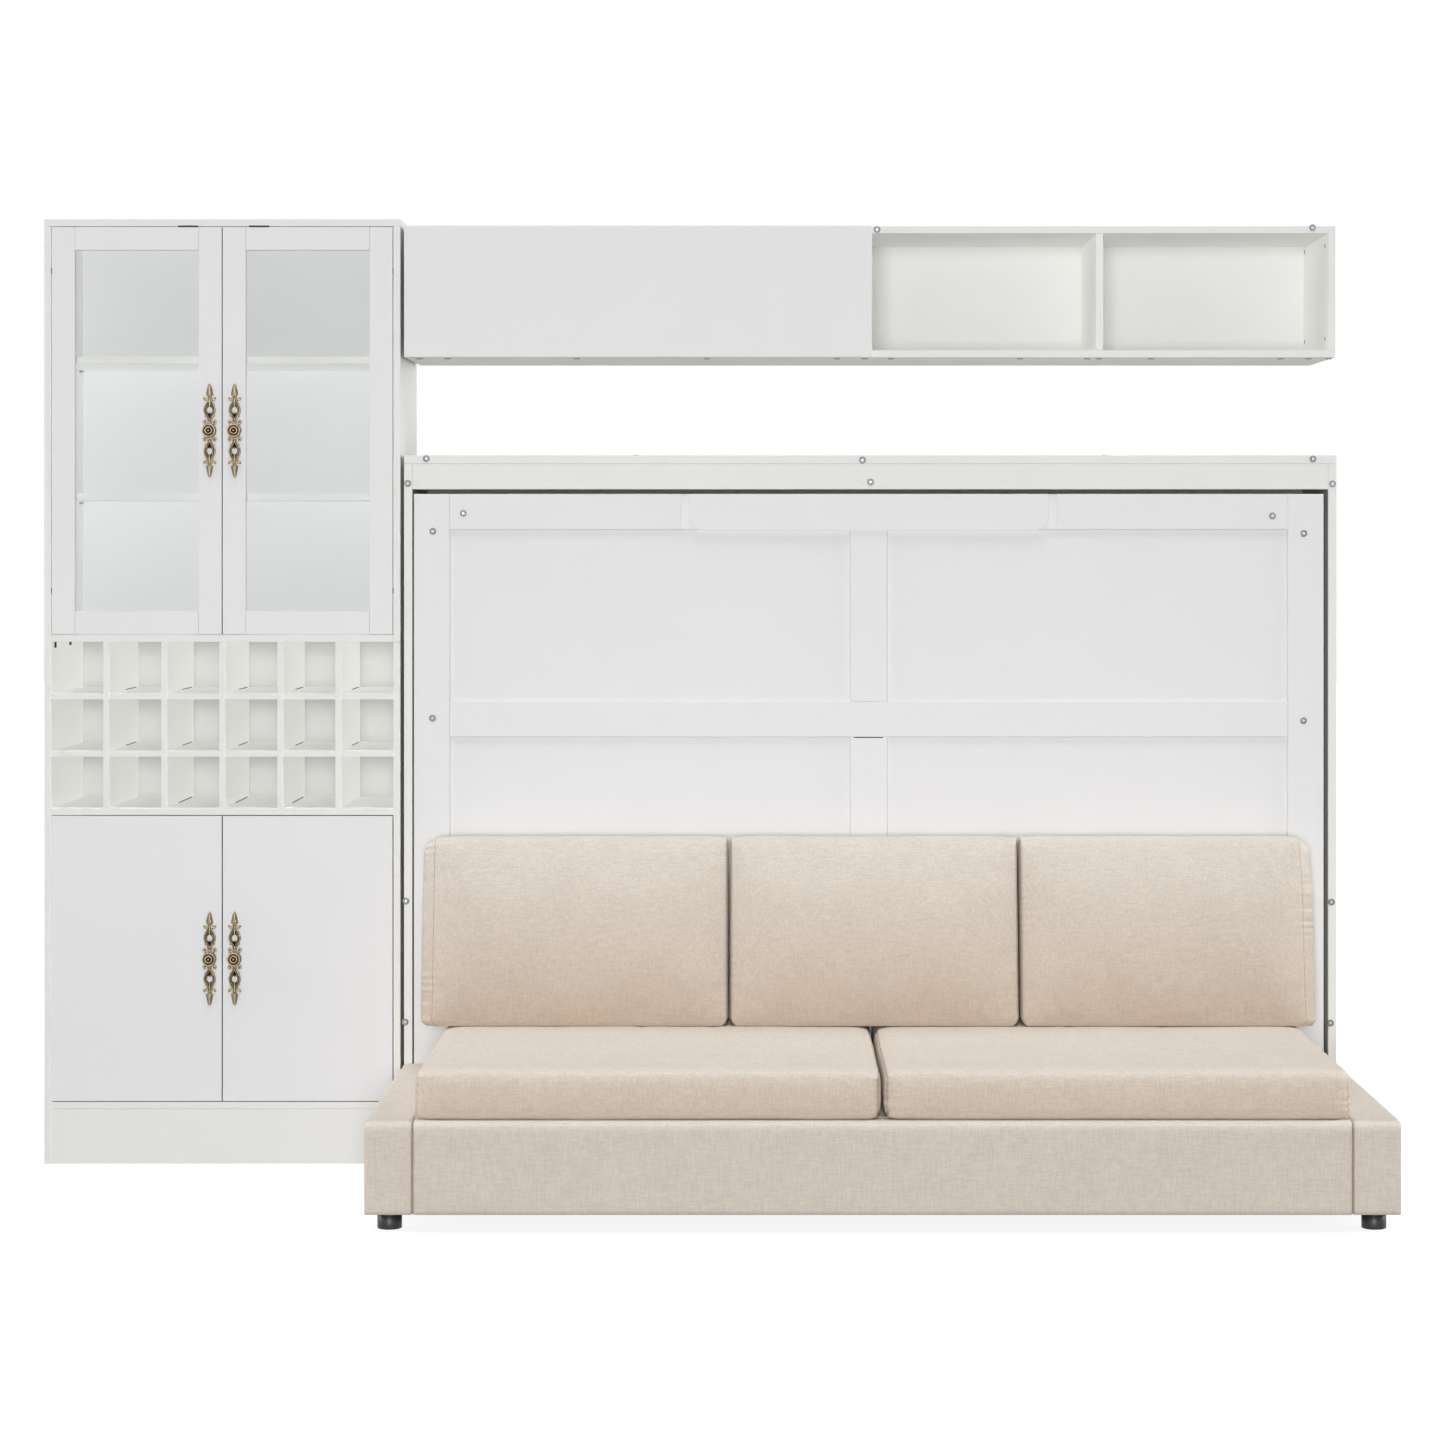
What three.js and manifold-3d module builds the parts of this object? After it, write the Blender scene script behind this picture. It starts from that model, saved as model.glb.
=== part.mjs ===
// Wall bed with sofa: a side-tilting bed in a cabinet, with a tall cabinet, a wall shelf and a sofa.
// Real sizes in millimetres. +X is right, -Y is the front, +Z is up. The floor is z = 0.
import * as THREE from "three";
import { mergeVertices } from "three/addons/utils/BufferGeometryUtils.js";
import Module from "manifold-3d";

const wasm = await Module();
wasm.setup();

// Sizes that every unit shares
const cabinetDepth = 400;
const cabinetGap = 8;
const jointGap = 0.3;
const cutOverrun = 6;
const blend = 1;
const spacerRadius = 15;
const spacerFromBack = 30;

// Tall cabinet
const tallWidth = 777;
const tallBoard = 15;
const tallBackPanel = 4;
const kickHeight = 119.5;
const lowerDoorSpace = 626;
const rackSpace = 362.5;
const upperSpace = 892;
const lowerDisplaySpace = 295;
const middleDisplaySpace = 284;
const displayShelfSetback = 32;

// Wine rack
const rackColumns = 6;
const rackRows = 3;
const rackBoard = 13;
const rackShelfSetback = 0.8;

// Doors of the tall cabinet
const doorGap = 2;
const meetingGap = 2.5;
const lowerDoorThickness = 15;
const glassDoorThickness = 18;
const glassDoorMember = 50;
const glassThickness = 4;
const glassRebate = 8;
const hingeArmWidth = 12;
const hingeArmLength = 42;
const hingeArmHeight = 20;
const hingeFromDoorEnd = 95;

// Handles: openwork backplate with a round knob
const handleLength = 207;
const handleFromEdge = 26;
const handlePlateThickness = 4;
const handleEyeWidth = 25.5;
const handleScrollRadius = 4;
const handleScrollReach = 10.5;
const rosetteRadius = 15;
const knobRadius = 14;
const knobProjection = 25;

// Bed cabinet
const bedCabinetWidth = 2034;
const bedCabinetHeight = 1545;
const bedBoard = 18;
const bedBackPanel = 5;
const headerHeight = 56;
const headerThickness = 18;

// Bed face: board behind, stiles and rails in front
const faceTopGap = 10;
const faceFloorGap = 26;
const faceGapLeft = 3.4;
const faceGapRight = 10;
const faceRecess = 1;
const faceFrameThickness = 5;
const faceBoardThickness = 12;
const faceRailWidth = 77;
const faceSideStileWidth = 78;
const faceCentreStileWidth = 80;
const faceRows = 3;

// Pull board on the bed's top rail
const pullWidth = 784;
const pullHeight = 79.5;
const pullThickness = 9;
const pullCornerRadius = 31;
const pullMargin = 18.5;
const pullCutoutRadius = 17;

// Bed frame, slats and pivots
const frameEdgeMargin = 8.5;
const frameRail = 20;
const frameDepth = 130;
const slatCount = 14;
const slatWidth = 70;
const slatThickness = 12;
const battenWidth = 40;
const battenThickness = 9;
const battenCount = 3;
const pivotBehindFront = 97;
const pivotHeight = 319;
const pivotRadius = 10;
const pivotClearance = 0.6;
const pivotDepthInBoard = 12;

// Gas struts
const strutAnchorBehindFront = 250;
const strutAnchorHeight = 880;
const strutFootBehindPivot = 40;
const strutFootBelowPivot = 189;
const strutCylinderRadius = 9;
const strutCylinderLength = 400;
const strutSideGap = 2.75;
const strutRodRadius = 4;
const strutBoreClearance = 0.7;
const strutStudRadius = 4;
const strutEyeRadius = 9;
const strutEyeThickness = 8;
const strutEyeHoleRadius = 4.6;
const strutNeck = 14;
const strutRodLength = 470;

// Wall shelf unit
const wallShelfGap = 215;
const wallShelfHeight = 286;
const wallShelfBoard = 15;
const wallShelfBackPanel = 4;
const flapWidth = 1021;
const flapThickness = 15;
const dividerFromLeft = 1511;
const flapArmHeight = 12;
const flapArmLength = 34;
const flapArmWidth = 20;
const flapArmFromEnd = 60;

// Sofa platform
const sofaDepth = 848;
const sofaTop = 220;
const sofaArmWidth = 95;
const sofaRailThickness = 60;
const sofaDeckThickness = 25;
const sofaRearRailThickness = 25;
const sofaEdgeRadius = 9;
const footHeight = 35;
const footRadius = 25;
const footRim = 2;
const footFromSide = 45;
const footFromFront = 65;

// Cushions
const seatCushionThickness = 92;
const seatCushionCrown = 16;
const seatCushionDent = 6;
const seatCushionRound = 24;
const seatCushionDrawIn = 9;
const seatCushionFrontGap = 6;
const cushionGap = 2;
const backCushionLeftWidth = 660;
const backCushionMiddleWidth = 620;
const backCushionRightWidth = 635;
const backCushionHeight = 408;
const backCushionThickness = 132;
const backCushionCrown = 12;
const backCushionRound = 26;
const backCushionDrawIn = 9;
const backCushionLean = 9;
const backCushionStart = 49;
const backCushionTop = 730;

// Facets
const roundSteps = 20;
const smallRoundSteps = 8;

// Derived levels of the tall cabinet
const baseTop = kickHeight + tallBoard;
const rackFloorBottom = baseTop + lowerDoorSpace;
const rackBottom = rackFloorBottom + tallBoard;
const lowerCarcassTop = rackBottom + rackSpace;
const middleBoardTop = lowerCarcassTop + tallBoard;
const topBoardBottom = middleBoardTop + upperSpace;
const tallHeight = topBoardBottom + tallBoard;
const tallInnerLeft = tallBoard;
const tallInnerRight = tallWidth - tallBoard;
const tallBackFront = cabinetDepth - tallBackPanel;

// Derived places of the bed cabinet, the wall shelf and the sofa
const bedLeft = tallWidth + cabinetGap;
const bedRight = bedLeft + bedCabinetWidth;
const bedInnerLeft = bedLeft + bedBoard;
const bedInnerRight = bedRight - bedBoard;
const bedTopBottom = bedCabinetHeight - bedBoard;
const headerBottom = bedTopBottom - headerHeight;
const bedBackFront = cabinetDepth - bedBackPanel;
const faceLeft = bedInnerLeft + faceGapLeft;
const faceRight = bedInnerRight - faceGapRight;
const faceBottom = faceFloorGap;
const faceTop = headerBottom - faceTopGap;
const faceMiddle = (faceLeft + faceRight) / 2;
const faceBoardFront = faceRecess + faceFrameThickness + jointGap;
const frameFront = faceBoardFront + faceBoardThickness + jointGap;
const strutSpace = 2 * (strutCylinderRadius + strutSideGap);
const frameLeft = bedInnerLeft + strutSpace;
const frameRight = bedInnerRight - strutSpace;
const frameBottom = faceBottom + frameEdgeMargin;
const frameTop = faceTop - frameEdgeMargin;
const wallShelfBottom = bedCabinetHeight + wallShelfGap;
const wallShelfTop = wallShelfBottom + wallShelfHeight;
const wallShelfFront = flapThickness + jointGap;
const sofaFront = -sofaDepth;
const sofaBottom = footHeight;
const overallWidth = bedRight;
const overallDepth = cabinetDepth + sofaDepth;

// Finishes
function finish(color, roughness, metalness, extra = {}) {
  return new THREE.MeshStandardMaterial({ color, roughness, metalness, ...extra });
}
const laminate = finish(0xe4e5e7, 0.38, 0);
const glass = finish(0xe3e9e8, 0.06, 0, { transparent: true, opacity: 0.35 });
const antiqueBrass = finish(0x7b6238, 0.42, 0.85);
const upholstery = finish(0xd6cabd, 0.92, 0);
const cushionFabric = finish(0xd8cbb5, 0.93, 0);
const blackPlastic = finish(0x1b1b1c, 0.5, 0);
const steel = finish(0xa9adb1, 0.34, 0.9);
const slatWood = finish(0xcdb488, 0.6, 0);

const object = new THREE.Group();
object.position.set(-overallWidth / 2, overallDepth / 2 - cabinetDepth, 0);

function add(name, geometry, material) {
  const mesh = new THREE.Mesh(geometry, material);
  mesh.name = name;
  object.add(mesh);
}

// Joining and cutting closed meshes
function solidOf(geometry) {
  const plain = geometry.index ? geometry.toNonIndexed() : geometry.clone();
  plain.deleteAttribute("normal");
  plain.deleteAttribute("uv");
  const merged = mergeVertices(plain, 1e-3);
  return new wasm.Manifold(new wasm.Mesh({
    numProp: 3,
    vertProperties: merged.attributes.position.array,
    triVerts: new Uint32Array(merged.index.array),
  }));
}

function geometryOf(solid) {
  const mesh = solid.getMesh();
  const geometry = new THREE.BufferGeometry();
  geometry.setAttribute("position", new THREE.BufferAttribute(new Float32Array(mesh.vertProperties), 3));
  geometry.setIndex(new THREE.BufferAttribute(new Uint32Array(mesh.triVerts), 1));
  geometry.computeVertexNormals();
  return geometry;
}

function join(...pieces) {
  return geometryOf(pieces.map(solidOf).reduce((whole, piece) => whole.add(piece)));
}

function cut(base, ...tools) {
  return geometryOf(tools.map(solidOf).reduce((whole, tool) => whole.subtract(tool), solidOf(base)));
}

// A box between two limits along each axis
function block([x0, x1], [y0, y1], [z0, z1]) {
  const geometry = new THREE.BoxGeometry(x1 - x0, y1 - y0, z1 - z0);
  geometry.translate((x0 + x1) / 2, (y0 + y1) / 2, (z0 + z1) / 2);
  return geometry;
}

// A round bar along X between two limits
function barAlongX([x0, x1], y, z, radius) {
  const geometry = new THREE.CylinderGeometry(radius, radius, x1 - x0, roundSteps);
  geometry.rotateZ(Math.PI / 2);
  geometry.translate((x0 + x1) / 2, y, z);
  return geometry;
}

// Limits drawn in by the joint gap at both ends
function between(low, high) {
  return [low + jointGap, high - jointGap];
}

// The mirror image of a span about the tall cabinet's middle
function mirroredInTall([x0, x1]) {
  return [tallWidth - x1, tallWidth - x0];
}

function tallCarcass() {
  const boardDepth = [0, tallBackFront - jointGap];
  const innerX = between(tallInnerLeft, tallInnerRight);
  const sideX = [0, tallInnerLeft];
  const lowerZ = [0, lowerCarcassTop];
  const upperZ = between(lowerCarcassTop, topBoardBottom);
  add("tall_lower_side_left", block(sideX, boardDepth, lowerZ), laminate);
  add("tall_lower_side_right", block(mirroredInTall(sideX), boardDepth, lowerZ), laminate);
  add("tall_upper_side_left", block(sideX, boardDepth, upperZ), laminate);
  add("tall_upper_side_right", block(mirroredInTall(sideX), boardDepth, upperZ), laminate);
  const fullWidth = [0, tallWidth];
  add("tall_top_board", block(fullWidth, [0, cabinetDepth], [topBoardBottom, tallHeight]), laminate);
  add("tall_middle_board", block(innerX, boardDepth, [lowerCarcassTop + jointGap, middleBoardTop]), laminate);
  add("rack_floor_board", block(innerX, boardDepth, [rackFloorBottom, rackBottom]), laminate);
  add("tall_base_board", block(innerX, boardDepth, [kickHeight, baseTop]), laminate);
  add("kick_board", block(innerX, [0, tallBoard], [0, kickHeight - jointGap]), laminate);
  const backDepth = [tallBackFront, cabinetDepth];
  add("tall_lower_back", block(fullWidth, backDepth, [kickHeight, lowerCarcassTop]), laminate);
  add("tall_upper_back", block(fullWidth, backDepth, upperZ), laminate);
}

function displayShelves() {
  const shelfX = between(tallInnerLeft, tallInnerRight);
  const shelfY = [displayShelfSetback, tallBackFront - jointGap];
  const lowerZ = middleBoardTop + lowerDisplaySpace;
  const upperZ = lowerZ + tallBoard + middleDisplaySpace;
  add("display_shelf_lower", block(shelfX, shelfY, [lowerZ, lowerZ + tallBoard]), laminate);
  add("display_shelf_upper", block(shelfX, shelfY, [upperZ, upperZ + tallBoard]), laminate);
}

// Five uprights and two shelves, half-lapped into one crate
function wineRack() {
  const [left, right] = between(tallInnerLeft, tallInnerRight);
  const [bottom, top] = between(rackBottom, lowerCarcassTop);
  const back = tallBackFront - jointGap;
  const cellWidth = (right - left - (rackColumns - 1) * rackBoard) / rackColumns;
  const cellHeight = (top - bottom - (rackRows - 1) * rackBoard) / rackRows;
  const boards = [];
  for (let row = 1; row < rackRows; row += 1) {
    const z = bottom + row * (cellHeight + rackBoard) - rackBoard;
    boards.push(block([left, right], [rackShelfSetback, back], [z, z + rackBoard]));
  }
  for (let column = 1; column < rackColumns; column += 1) {
    const x = left + column * (cellWidth + rackBoard) - rackBoard;
    boards.push(block([x, x + rackBoard], [0, back - rackShelfSetback], [bottom, top]));
  }
  add("wine_rack_grid", join(...boards), laminate);
}

// Hinge arms behind a door, reaching the side board that carries them
function hingeArms(thickness, [z0, z1]) {
  const armX = [tallInnerLeft + jointGap, tallInnerLeft + jointGap + hingeArmWidth];
  const armY = [thickness - blend, thickness + hingeArmLength];
  return [z0 + hingeFromDoorEnd, z1 - hingeFromDoorEnd].map((z) =>
    block(armX, armY, [z - hingeArmHeight / 2, z + hingeArmHeight / 2]));
}

// A left door's geometry turned into a right door's
function mirrorX(geometry) {
  const plain = geometry.index ? geometry.toNonIndexed() : geometry.clone();
  plain.deleteAttribute("normal");
  plain.deleteAttribute("uv");
  const place = plain.attributes.position;
  for (let i = 0; i < place.count; i += 3) {
    const corners = [i, i + 2, i + 1].map((k) => [tallWidth - place.getX(k), place.getY(k), place.getZ(k)]);
    corners.forEach((corner, k) => place.setXYZ(i + k, ...corner));
  }
  plain.computeVertexNormals();
  return plain;
}

const doorWidth = (tallInnerRight - tallInnerLeft - 2 * doorGap - meetingGap) / 2;
const doorX = [tallInnerLeft + doorGap, tallInnerLeft + doorGap + doorWidth];
const lowerDoorZ = [baseTop + doorGap, rackFloorBottom - doorGap];
const glassDoorZ = [middleBoardTop + doorGap, topBoardBottom - doorGap];

function lowerDoors() {
  const panel = block(doorX, [0, lowerDoorThickness], lowerDoorZ);
  const door = join(panel, ...hingeArms(lowerDoorThickness, lowerDoorZ));
  add("lower_door_left", door, laminate);
  add("lower_door_right", mirrorX(door), laminate);
}

function glassDoors() {
  const inset = (span, by) => [span[0] + by, span[1] - by];
  const openX = inset(doorX, glassDoorMember);
  const openZ = inset(glassDoorZ, glassDoorMember);
  const paneFront = glassDoorThickness - glassThickness - jointGap;
  const throughY = [-cutOverrun, glassDoorThickness + cutOverrun];
  const rebateY = [paneFront - jointGap, glassDoorThickness + cutOverrun];
  const rebate = block(inset(openX, -glassRebate), rebateY, inset(openZ, -glassRebate));
  const outer = block(doorX, [0, glassDoorThickness], glassDoorZ);
  const ring = cut(outer, block(openX, throughY, openZ), rebate);
  const frame = join(ring, ...hingeArms(glassDoorThickness, glassDoorZ));
  add("glass_door_frame_left", frame, laminate);
  add("glass_door_frame_right", mirrorX(frame), laminate);
  const paneBy = jointGap - glassRebate;
  const pane = block(inset(openX, paneBy), [paneFront, paneFront + glassThickness], inset(openZ, paneBy));
  add("glass_pane_left", pane, glass);
  add("glass_pane_right", mirrorX(pane), glass);
}

// Half of the backplate's outline, from the rosette outward, as shares of half the handle's length
// and of half the eye's width
const eyeOutsideShares = [
  [0.1, 0.3], [0.2, 0.42], [0.3, 0.72], [0.38, 0.95], [0.45, 1], [0.53, 0.86], [0.62, 0.5], [0.7, 0.36],
];
const eyeHoleShares = [[0.31, 0], [0.35, 0.3], [0.42, 0.52], [0.49, 0.42], [0.53, 0.16], [0.53, 0]];
const leafShares = [[0.66, 0.3], [0.72, 0.62], [0.78, 0.6], [0.88, 0.45], [0.97, 0.28], [1, 0]];
const scrollPlaceShares = [0.19, 0.675];
const spurPlaceShare = 0.3;
const spurRadiusShare = 0.62;
// Knob and rosette: shares of the knob's projection and of its radius
const knobProfileShares = [
  [0.24, 0.45], [0.5, 0.42], [0.64, 0.92], [0.78, 1], [0.9, 0.8], [0.87, 0.55], [1, 0.3], [1, 0],
];

// A plate with a mirrored outline, extruded in the XZ plane towards the front
function mirroredPlate(shares, holeShares) {
  const along = handleLength / 2;
  const across = handleEyeWidth / 2;
  const points = (list) => {
    const right = list.map(([s, w]) => new THREE.Vector2(w * across, s * along));
    const left = list.filter(([, w]) => w > 0).map(([s, w]) => new THREE.Vector2(-w * across, s * along));
    return [...right, ...left.reverse()];
  };
  const shape = new THREE.Shape(points(shares));
  if (holeShares) shape.holes.push(new THREE.Path(points(holeShares)));
  const plate = new THREE.ExtrudeGeometry(shape, { depth: handlePlateThickness, bevelEnabled: false });
  plate.rotateX(Math.PI / 2);
  return plate;
}

// A turned piece that stands out towards the front
function turned(profile) {
  const geometry = new THREE.LatheGeometry(profile.map(([r, y]) => new THREE.Vector2(r, y)), roundSteps);
  geometry.rotateX(Math.PI);
  return geometry;
}

// One handle with its back on y = 0 and its middle at the origin
function handleShape() {
  const halfLength = handleLength / 2;
  const rosette = turned([
    [0, 0], [rosetteRadius, 0], [rosetteRadius, handlePlateThickness],
    ...knobProfileShares.map(([s, r]) => [r * knobRadius, s * knobProjection]),
  ]);
  const half = [mirroredPlate(eyeOutsideShares, eyeHoleShares), mirroredPlate(leafShares)];
  const disc = (radius, x, z) => {
    const geometry = new THREE.CylinderGeometry(radius, radius, handlePlateThickness, smallRoundSteps);
    geometry.translate(x, -handlePlateThickness / 2, z);
    return geometry;
  };
  for (const side of [-1, 1]) {
    for (const share of scrollPlaceShares) {
      const reach = side * handleScrollReach;
      const z = share * halfLength;
      half.push(disc(handleScrollRadius, reach, z));
      half.push(block(
        [Math.min(0, reach), Math.max(0, reach)],
        [-handlePlateThickness, 0],
        [z - handleScrollRadius / 2, z + handleScrollRadius / 2],
      ));
    }
    const spurX = side * handleEyeWidth / 2 * spurRadiusShare;
    half.push(disc(handleScrollRadius / 2, spurX, spurPlaceShare * halfLength));
  }
  const upper = solidOf(join(...half));
  return geometryOf(upper.add(upper.mirror([0, 0, 1])).add(solidOf(rosette)));
}

function handles() {
  const shape = handleShape();
  const leftX = doorX[1] - handleFromEdge;
  const place = (name, x, [z0, z1]) => {
    const geometry = shape.clone();
    geometry.translate(x, -jointGap, (z0 + z1) / 2);
    add(name, geometry, antiqueBrass);
  };
  place("handle_glass_left", leftX, glassDoorZ);
  place("handle_glass_right", tallWidth - leftX, glassDoorZ);
  place("handle_lower_left", leftX, lowerDoorZ);
  place("handle_lower_right", tallWidth - leftX, lowerDoorZ);
}

// Bed cabinet: side boards with pivot holes, strut studs and spacers towards the tall cabinet
function bedSide(innerX, outerX, inward) {
  const board = block([Math.min(innerX, outerX), Math.max(innerX, outerX)],
    [0, bedBackFront - jointGap], [0, bedTopBottom - jointGap]);
  const span = (from, to) => [Math.min(from, to), Math.max(from, to)];
  const holeRadius = pivotRadius + pivotClearance;
  const holeX = span(innerX - inward * (pivotDepthInBoard + jointGap), innerX + inward * cutOverrun);
  const drilled = cut(board, barAlongX(holeX, pivotBehindFront, pivotHeight, holeRadius));
  const studX = span(innerX - inward * blend, strutPlaneX(innerX, inward) + inward * strutEyeThickness);
  return join(drilled, barAlongX(studX, strutAnchorBehindFront, strutAnchorHeight, strutStudRadius));
}

// Middle of the gap between a side board and the bed frame's end rail
function strutPlaneX(innerX, inward) {
  return innerX + inward * strutSpace / 2;
}

function spacer(z) {
  const x = [tallWidth + jointGap, bedLeft + blend];
  return barAlongX(x, cabinetDepth - spacerFromBack, z, spacerRadius);
}

function bedCabinet() {
  const left = bedSide(bedInnerLeft, bedLeft, 1);
  const spacerHeights = [kickHeight, lowerCarcassTop];
  add("bed_side_left", join(left, ...spacerHeights.map(spacer)), laminate);
  add("bed_side_right", bedSide(bedInnerRight, bedRight, -1), laminate);
  add("bed_top_board", block([bedLeft, bedRight], [0, cabinetDepth], [bedTopBottom, bedCabinetHeight]), laminate);
  const headerZ = [headerBottom, bedTopBottom - jointGap];
  add("bed_header", block(between(bedInnerLeft, bedInnerRight), [0, headerThickness], headerZ), laminate);
  const backZ = [0, bedTopBottom - jointGap];
  add("bed_cabinet_back", block([bedLeft, bedRight], [bedBackFront, cabinetDepth], backZ), laminate);
}

// A rectangle with round lower corners, from its top edge down
function roundedBelow([x0, x1], [z0, z1], radius) {
  const shape = new THREE.Shape();
  shape.moveTo(x0, z1);
  shape.lineTo(x0, z0 + radius);
  shape.absarc(x0 + radius, z0 + radius, radius, Math.PI, Math.PI * 1.5, false);
  shape.absarc(x1 - radius, z0 + radius, radius, Math.PI * 1.5, Math.PI * 2, false);
  shape.lineTo(x1, z1);
  return shape;
}

// An XZ outline as a plate between two depths
function plateInDepth(shape, [y0, y1]) {
  const geometry = new THREE.ExtrudeGeometry(shape, {
    depth: y1 - y0, bevelEnabled: false, curveSegments: smallRoundSteps / 2,
  });
  geometry.rotateX(Math.PI / 2);
  geometry.translate(0, y1, 0);
  return geometry;
}

function bedFace() {
  const faceX = [faceLeft, faceRight];
  const faceZ = [faceBottom, faceTop];
  const boardY = [faceBoardFront, faceBoardFront + faceBoardThickness];
  add("bed_face_board", block(faceX, boardY, faceZ), laminate);
  const frameY = [faceRecess, faceRecess + faceFrameThickness];
  const fieldHeight = (faceTop - faceBottom - (faceRows + 1) * faceRailWidth) / faceRows;
  const cutY = [frameY[0] - cutOverrun, frameY[1] + cutOverrun];
  const halfStile = faceCentreStileWidth / 2;
  const columns = [
    [faceLeft + faceSideStileWidth, faceMiddle - halfStile],
    [faceMiddle + halfStile, faceRight - faceSideStileWidth],
  ];
  const fields = [];
  for (let row = 0; row < faceRows; row += 1) {
    const z = faceBottom + faceRailWidth + row * (fieldHeight + faceRailWidth);
    for (const column of columns) fields.push(block(column, cutY, [z, z + fieldHeight]));
  }
  const pullX = [faceMiddle - pullWidth / 2, faceMiddle + pullWidth / 2];
  const cutoutX = [pullX[0] - pullMargin, pullX[1] + pullMargin];
  const cutoutZ = [faceTop - faceRailWidth, faceTop + cutOverrun];
  const cutout = plateInDepth(roundedBelow(cutoutX, cutoutZ, pullCutoutRadius), cutY);
  const halfPull = block(pullX, cutY, [faceTop - pullHeight - jointGap, faceTop]);
  add("bed_face_frame", cut(block(faceX, frameY, faceZ), ...fields, cutout, halfPull), laminate);
  const pullShape = roundedBelow(pullX, [faceTop - pullHeight, faceTop], pullCornerRadius);
  const pullBack = faceBoardFront - jointGap;
  add("pull_board", plateInDepth(pullShape, [pullBack - pullThickness, pullBack]), laminate);
}

function bedFrame() {
  const frameY = [frameFront, frameFront + frameDepth];
  const cutY = [frameY[0] - cutOverrun, frameY[1] + cutOverrun];
  const ring = cut(
    block([frameLeft, frameRight], frameY, [frameBottom, frameTop]),
    block([frameLeft + frameRail, frameRight - frameRail], cutY, [frameBottom + frameRail, frameTop - frameRail]),
  );
  const pin = (x) => barAlongX(x, pivotBehindFront, pivotHeight, pivotRadius);
  const leftPin = pin([bedInnerLeft - pivotDepthInBoard, frameLeft + blend]);
  const rightPin = pin([frameRight - blend, bedInnerRight + pivotDepthInBoard]);
  add("bed_frame", join(ring, leftPin, rightPin), laminate);
}

// Slats across the bed, on battens that run along it
function slatDeck() {
  const [left, right] = between(frameLeft + frameRail, frameRight - frameRail);
  const [bottom, top] = between(frameBottom + frameRail, frameTop - frameRail);
  const battenY = [frameFront, frameFront + battenThickness];
  const slatY = [battenY[1] - blend, battenY[1] + slatThickness];
  const slatPitch = (right - left - slatWidth) / (slatCount - 1);
  const battenPitch = (top - bottom - battenWidth) / (battenCount + 1);
  const pieces = [];
  for (let i = 0; i < slatCount; i += 1) {
    const x = left + i * slatPitch;
    pieces.push(block([x, x + slatWidth], slatY, [bottom, top]));
  }
  for (let i = 1; i <= battenCount; i += 1) {
    const z = bottom + i * battenPitch;
    pieces.push(block([left, right], battenY, [z, z + battenWidth]));
  }
  add("slat_deck", join(...pieces), slatWood);
}

// Gas struts: built hanging from the anchor at the origin, then swung to the foot
const strutFootY = pivotBehindFront + strutFootBehindPivot;
const strutFootZ = pivotHeight - strutFootBelowPivot;
const strutLength = Math.hypot(strutFootY - strutAnchorBehindFront, strutFootZ - strutAnchorHeight);
const strutSwing = Math.atan2(strutFootY - strutAnchorBehindFront, strutAnchorHeight - strutFootZ);

function eye(z) {
  const half = strutEyeThickness / 2;
  const hole = [-half - cutOverrun, half + cutOverrun];
  return cut(barAlongX([-half, half], 0, z, strutEyeRadius), barAlongX(hole, 0, z, strutEyeHoleRadius));
}

function upright(radius, [z0, z1]) {
  const geometry = new THREE.CylinderGeometry(radius, radius, z1 - z0, smallRoundSteps);
  geometry.rotateX(Math.PI / 2);
  geometry.translate(0, 0, (z0 + z1) / 2);
  return geometry;
}

function struts() {
  const tubeTop = -strutEyeRadius - strutNeck;
  const tubeBottom = tubeTop - strutCylinderLength;
  const neckTop = -(strutEyeRadius + strutEyeHoleRadius) / 2;
  const tube = upright(strutCylinderRadius, [tubeBottom, tubeTop]);
  const boreRadius = strutRodRadius + strutBoreClearance;
  const bore = upright(boreRadius, [tubeBottom - cutOverrun, tubeTop - strutNeck]);
  const neck = upright(strutRodRadius, [tubeTop - blend, neckTop]);
  const cylinder = join(cut(tube, bore), neck, eye(0));
  const rodBottom = -strutLength - neckTop;
  const rod = join(upright(strutRodRadius, [rodBottom, rodBottom + strutRodLength]), eye(-strutLength));
  const sides = [["left", strutPlaneX(bedInnerLeft, 1)], ["right", strutPlaneX(bedInnerRight, -1)]];
  for (const [side, x] of sides) {
    for (const [name, shape, material] of [["cylinder", cylinder, blackPlastic], ["rod", rod, steel]]) {
      const geometry = shape.clone();
      geometry.rotateX(strutSwing);
      geometry.translate(x, strutAnchorBehindFront, strutAnchorHeight);
      add(`strut_${name}_${side}`, geometry, material);
    }
  }
}

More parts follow.
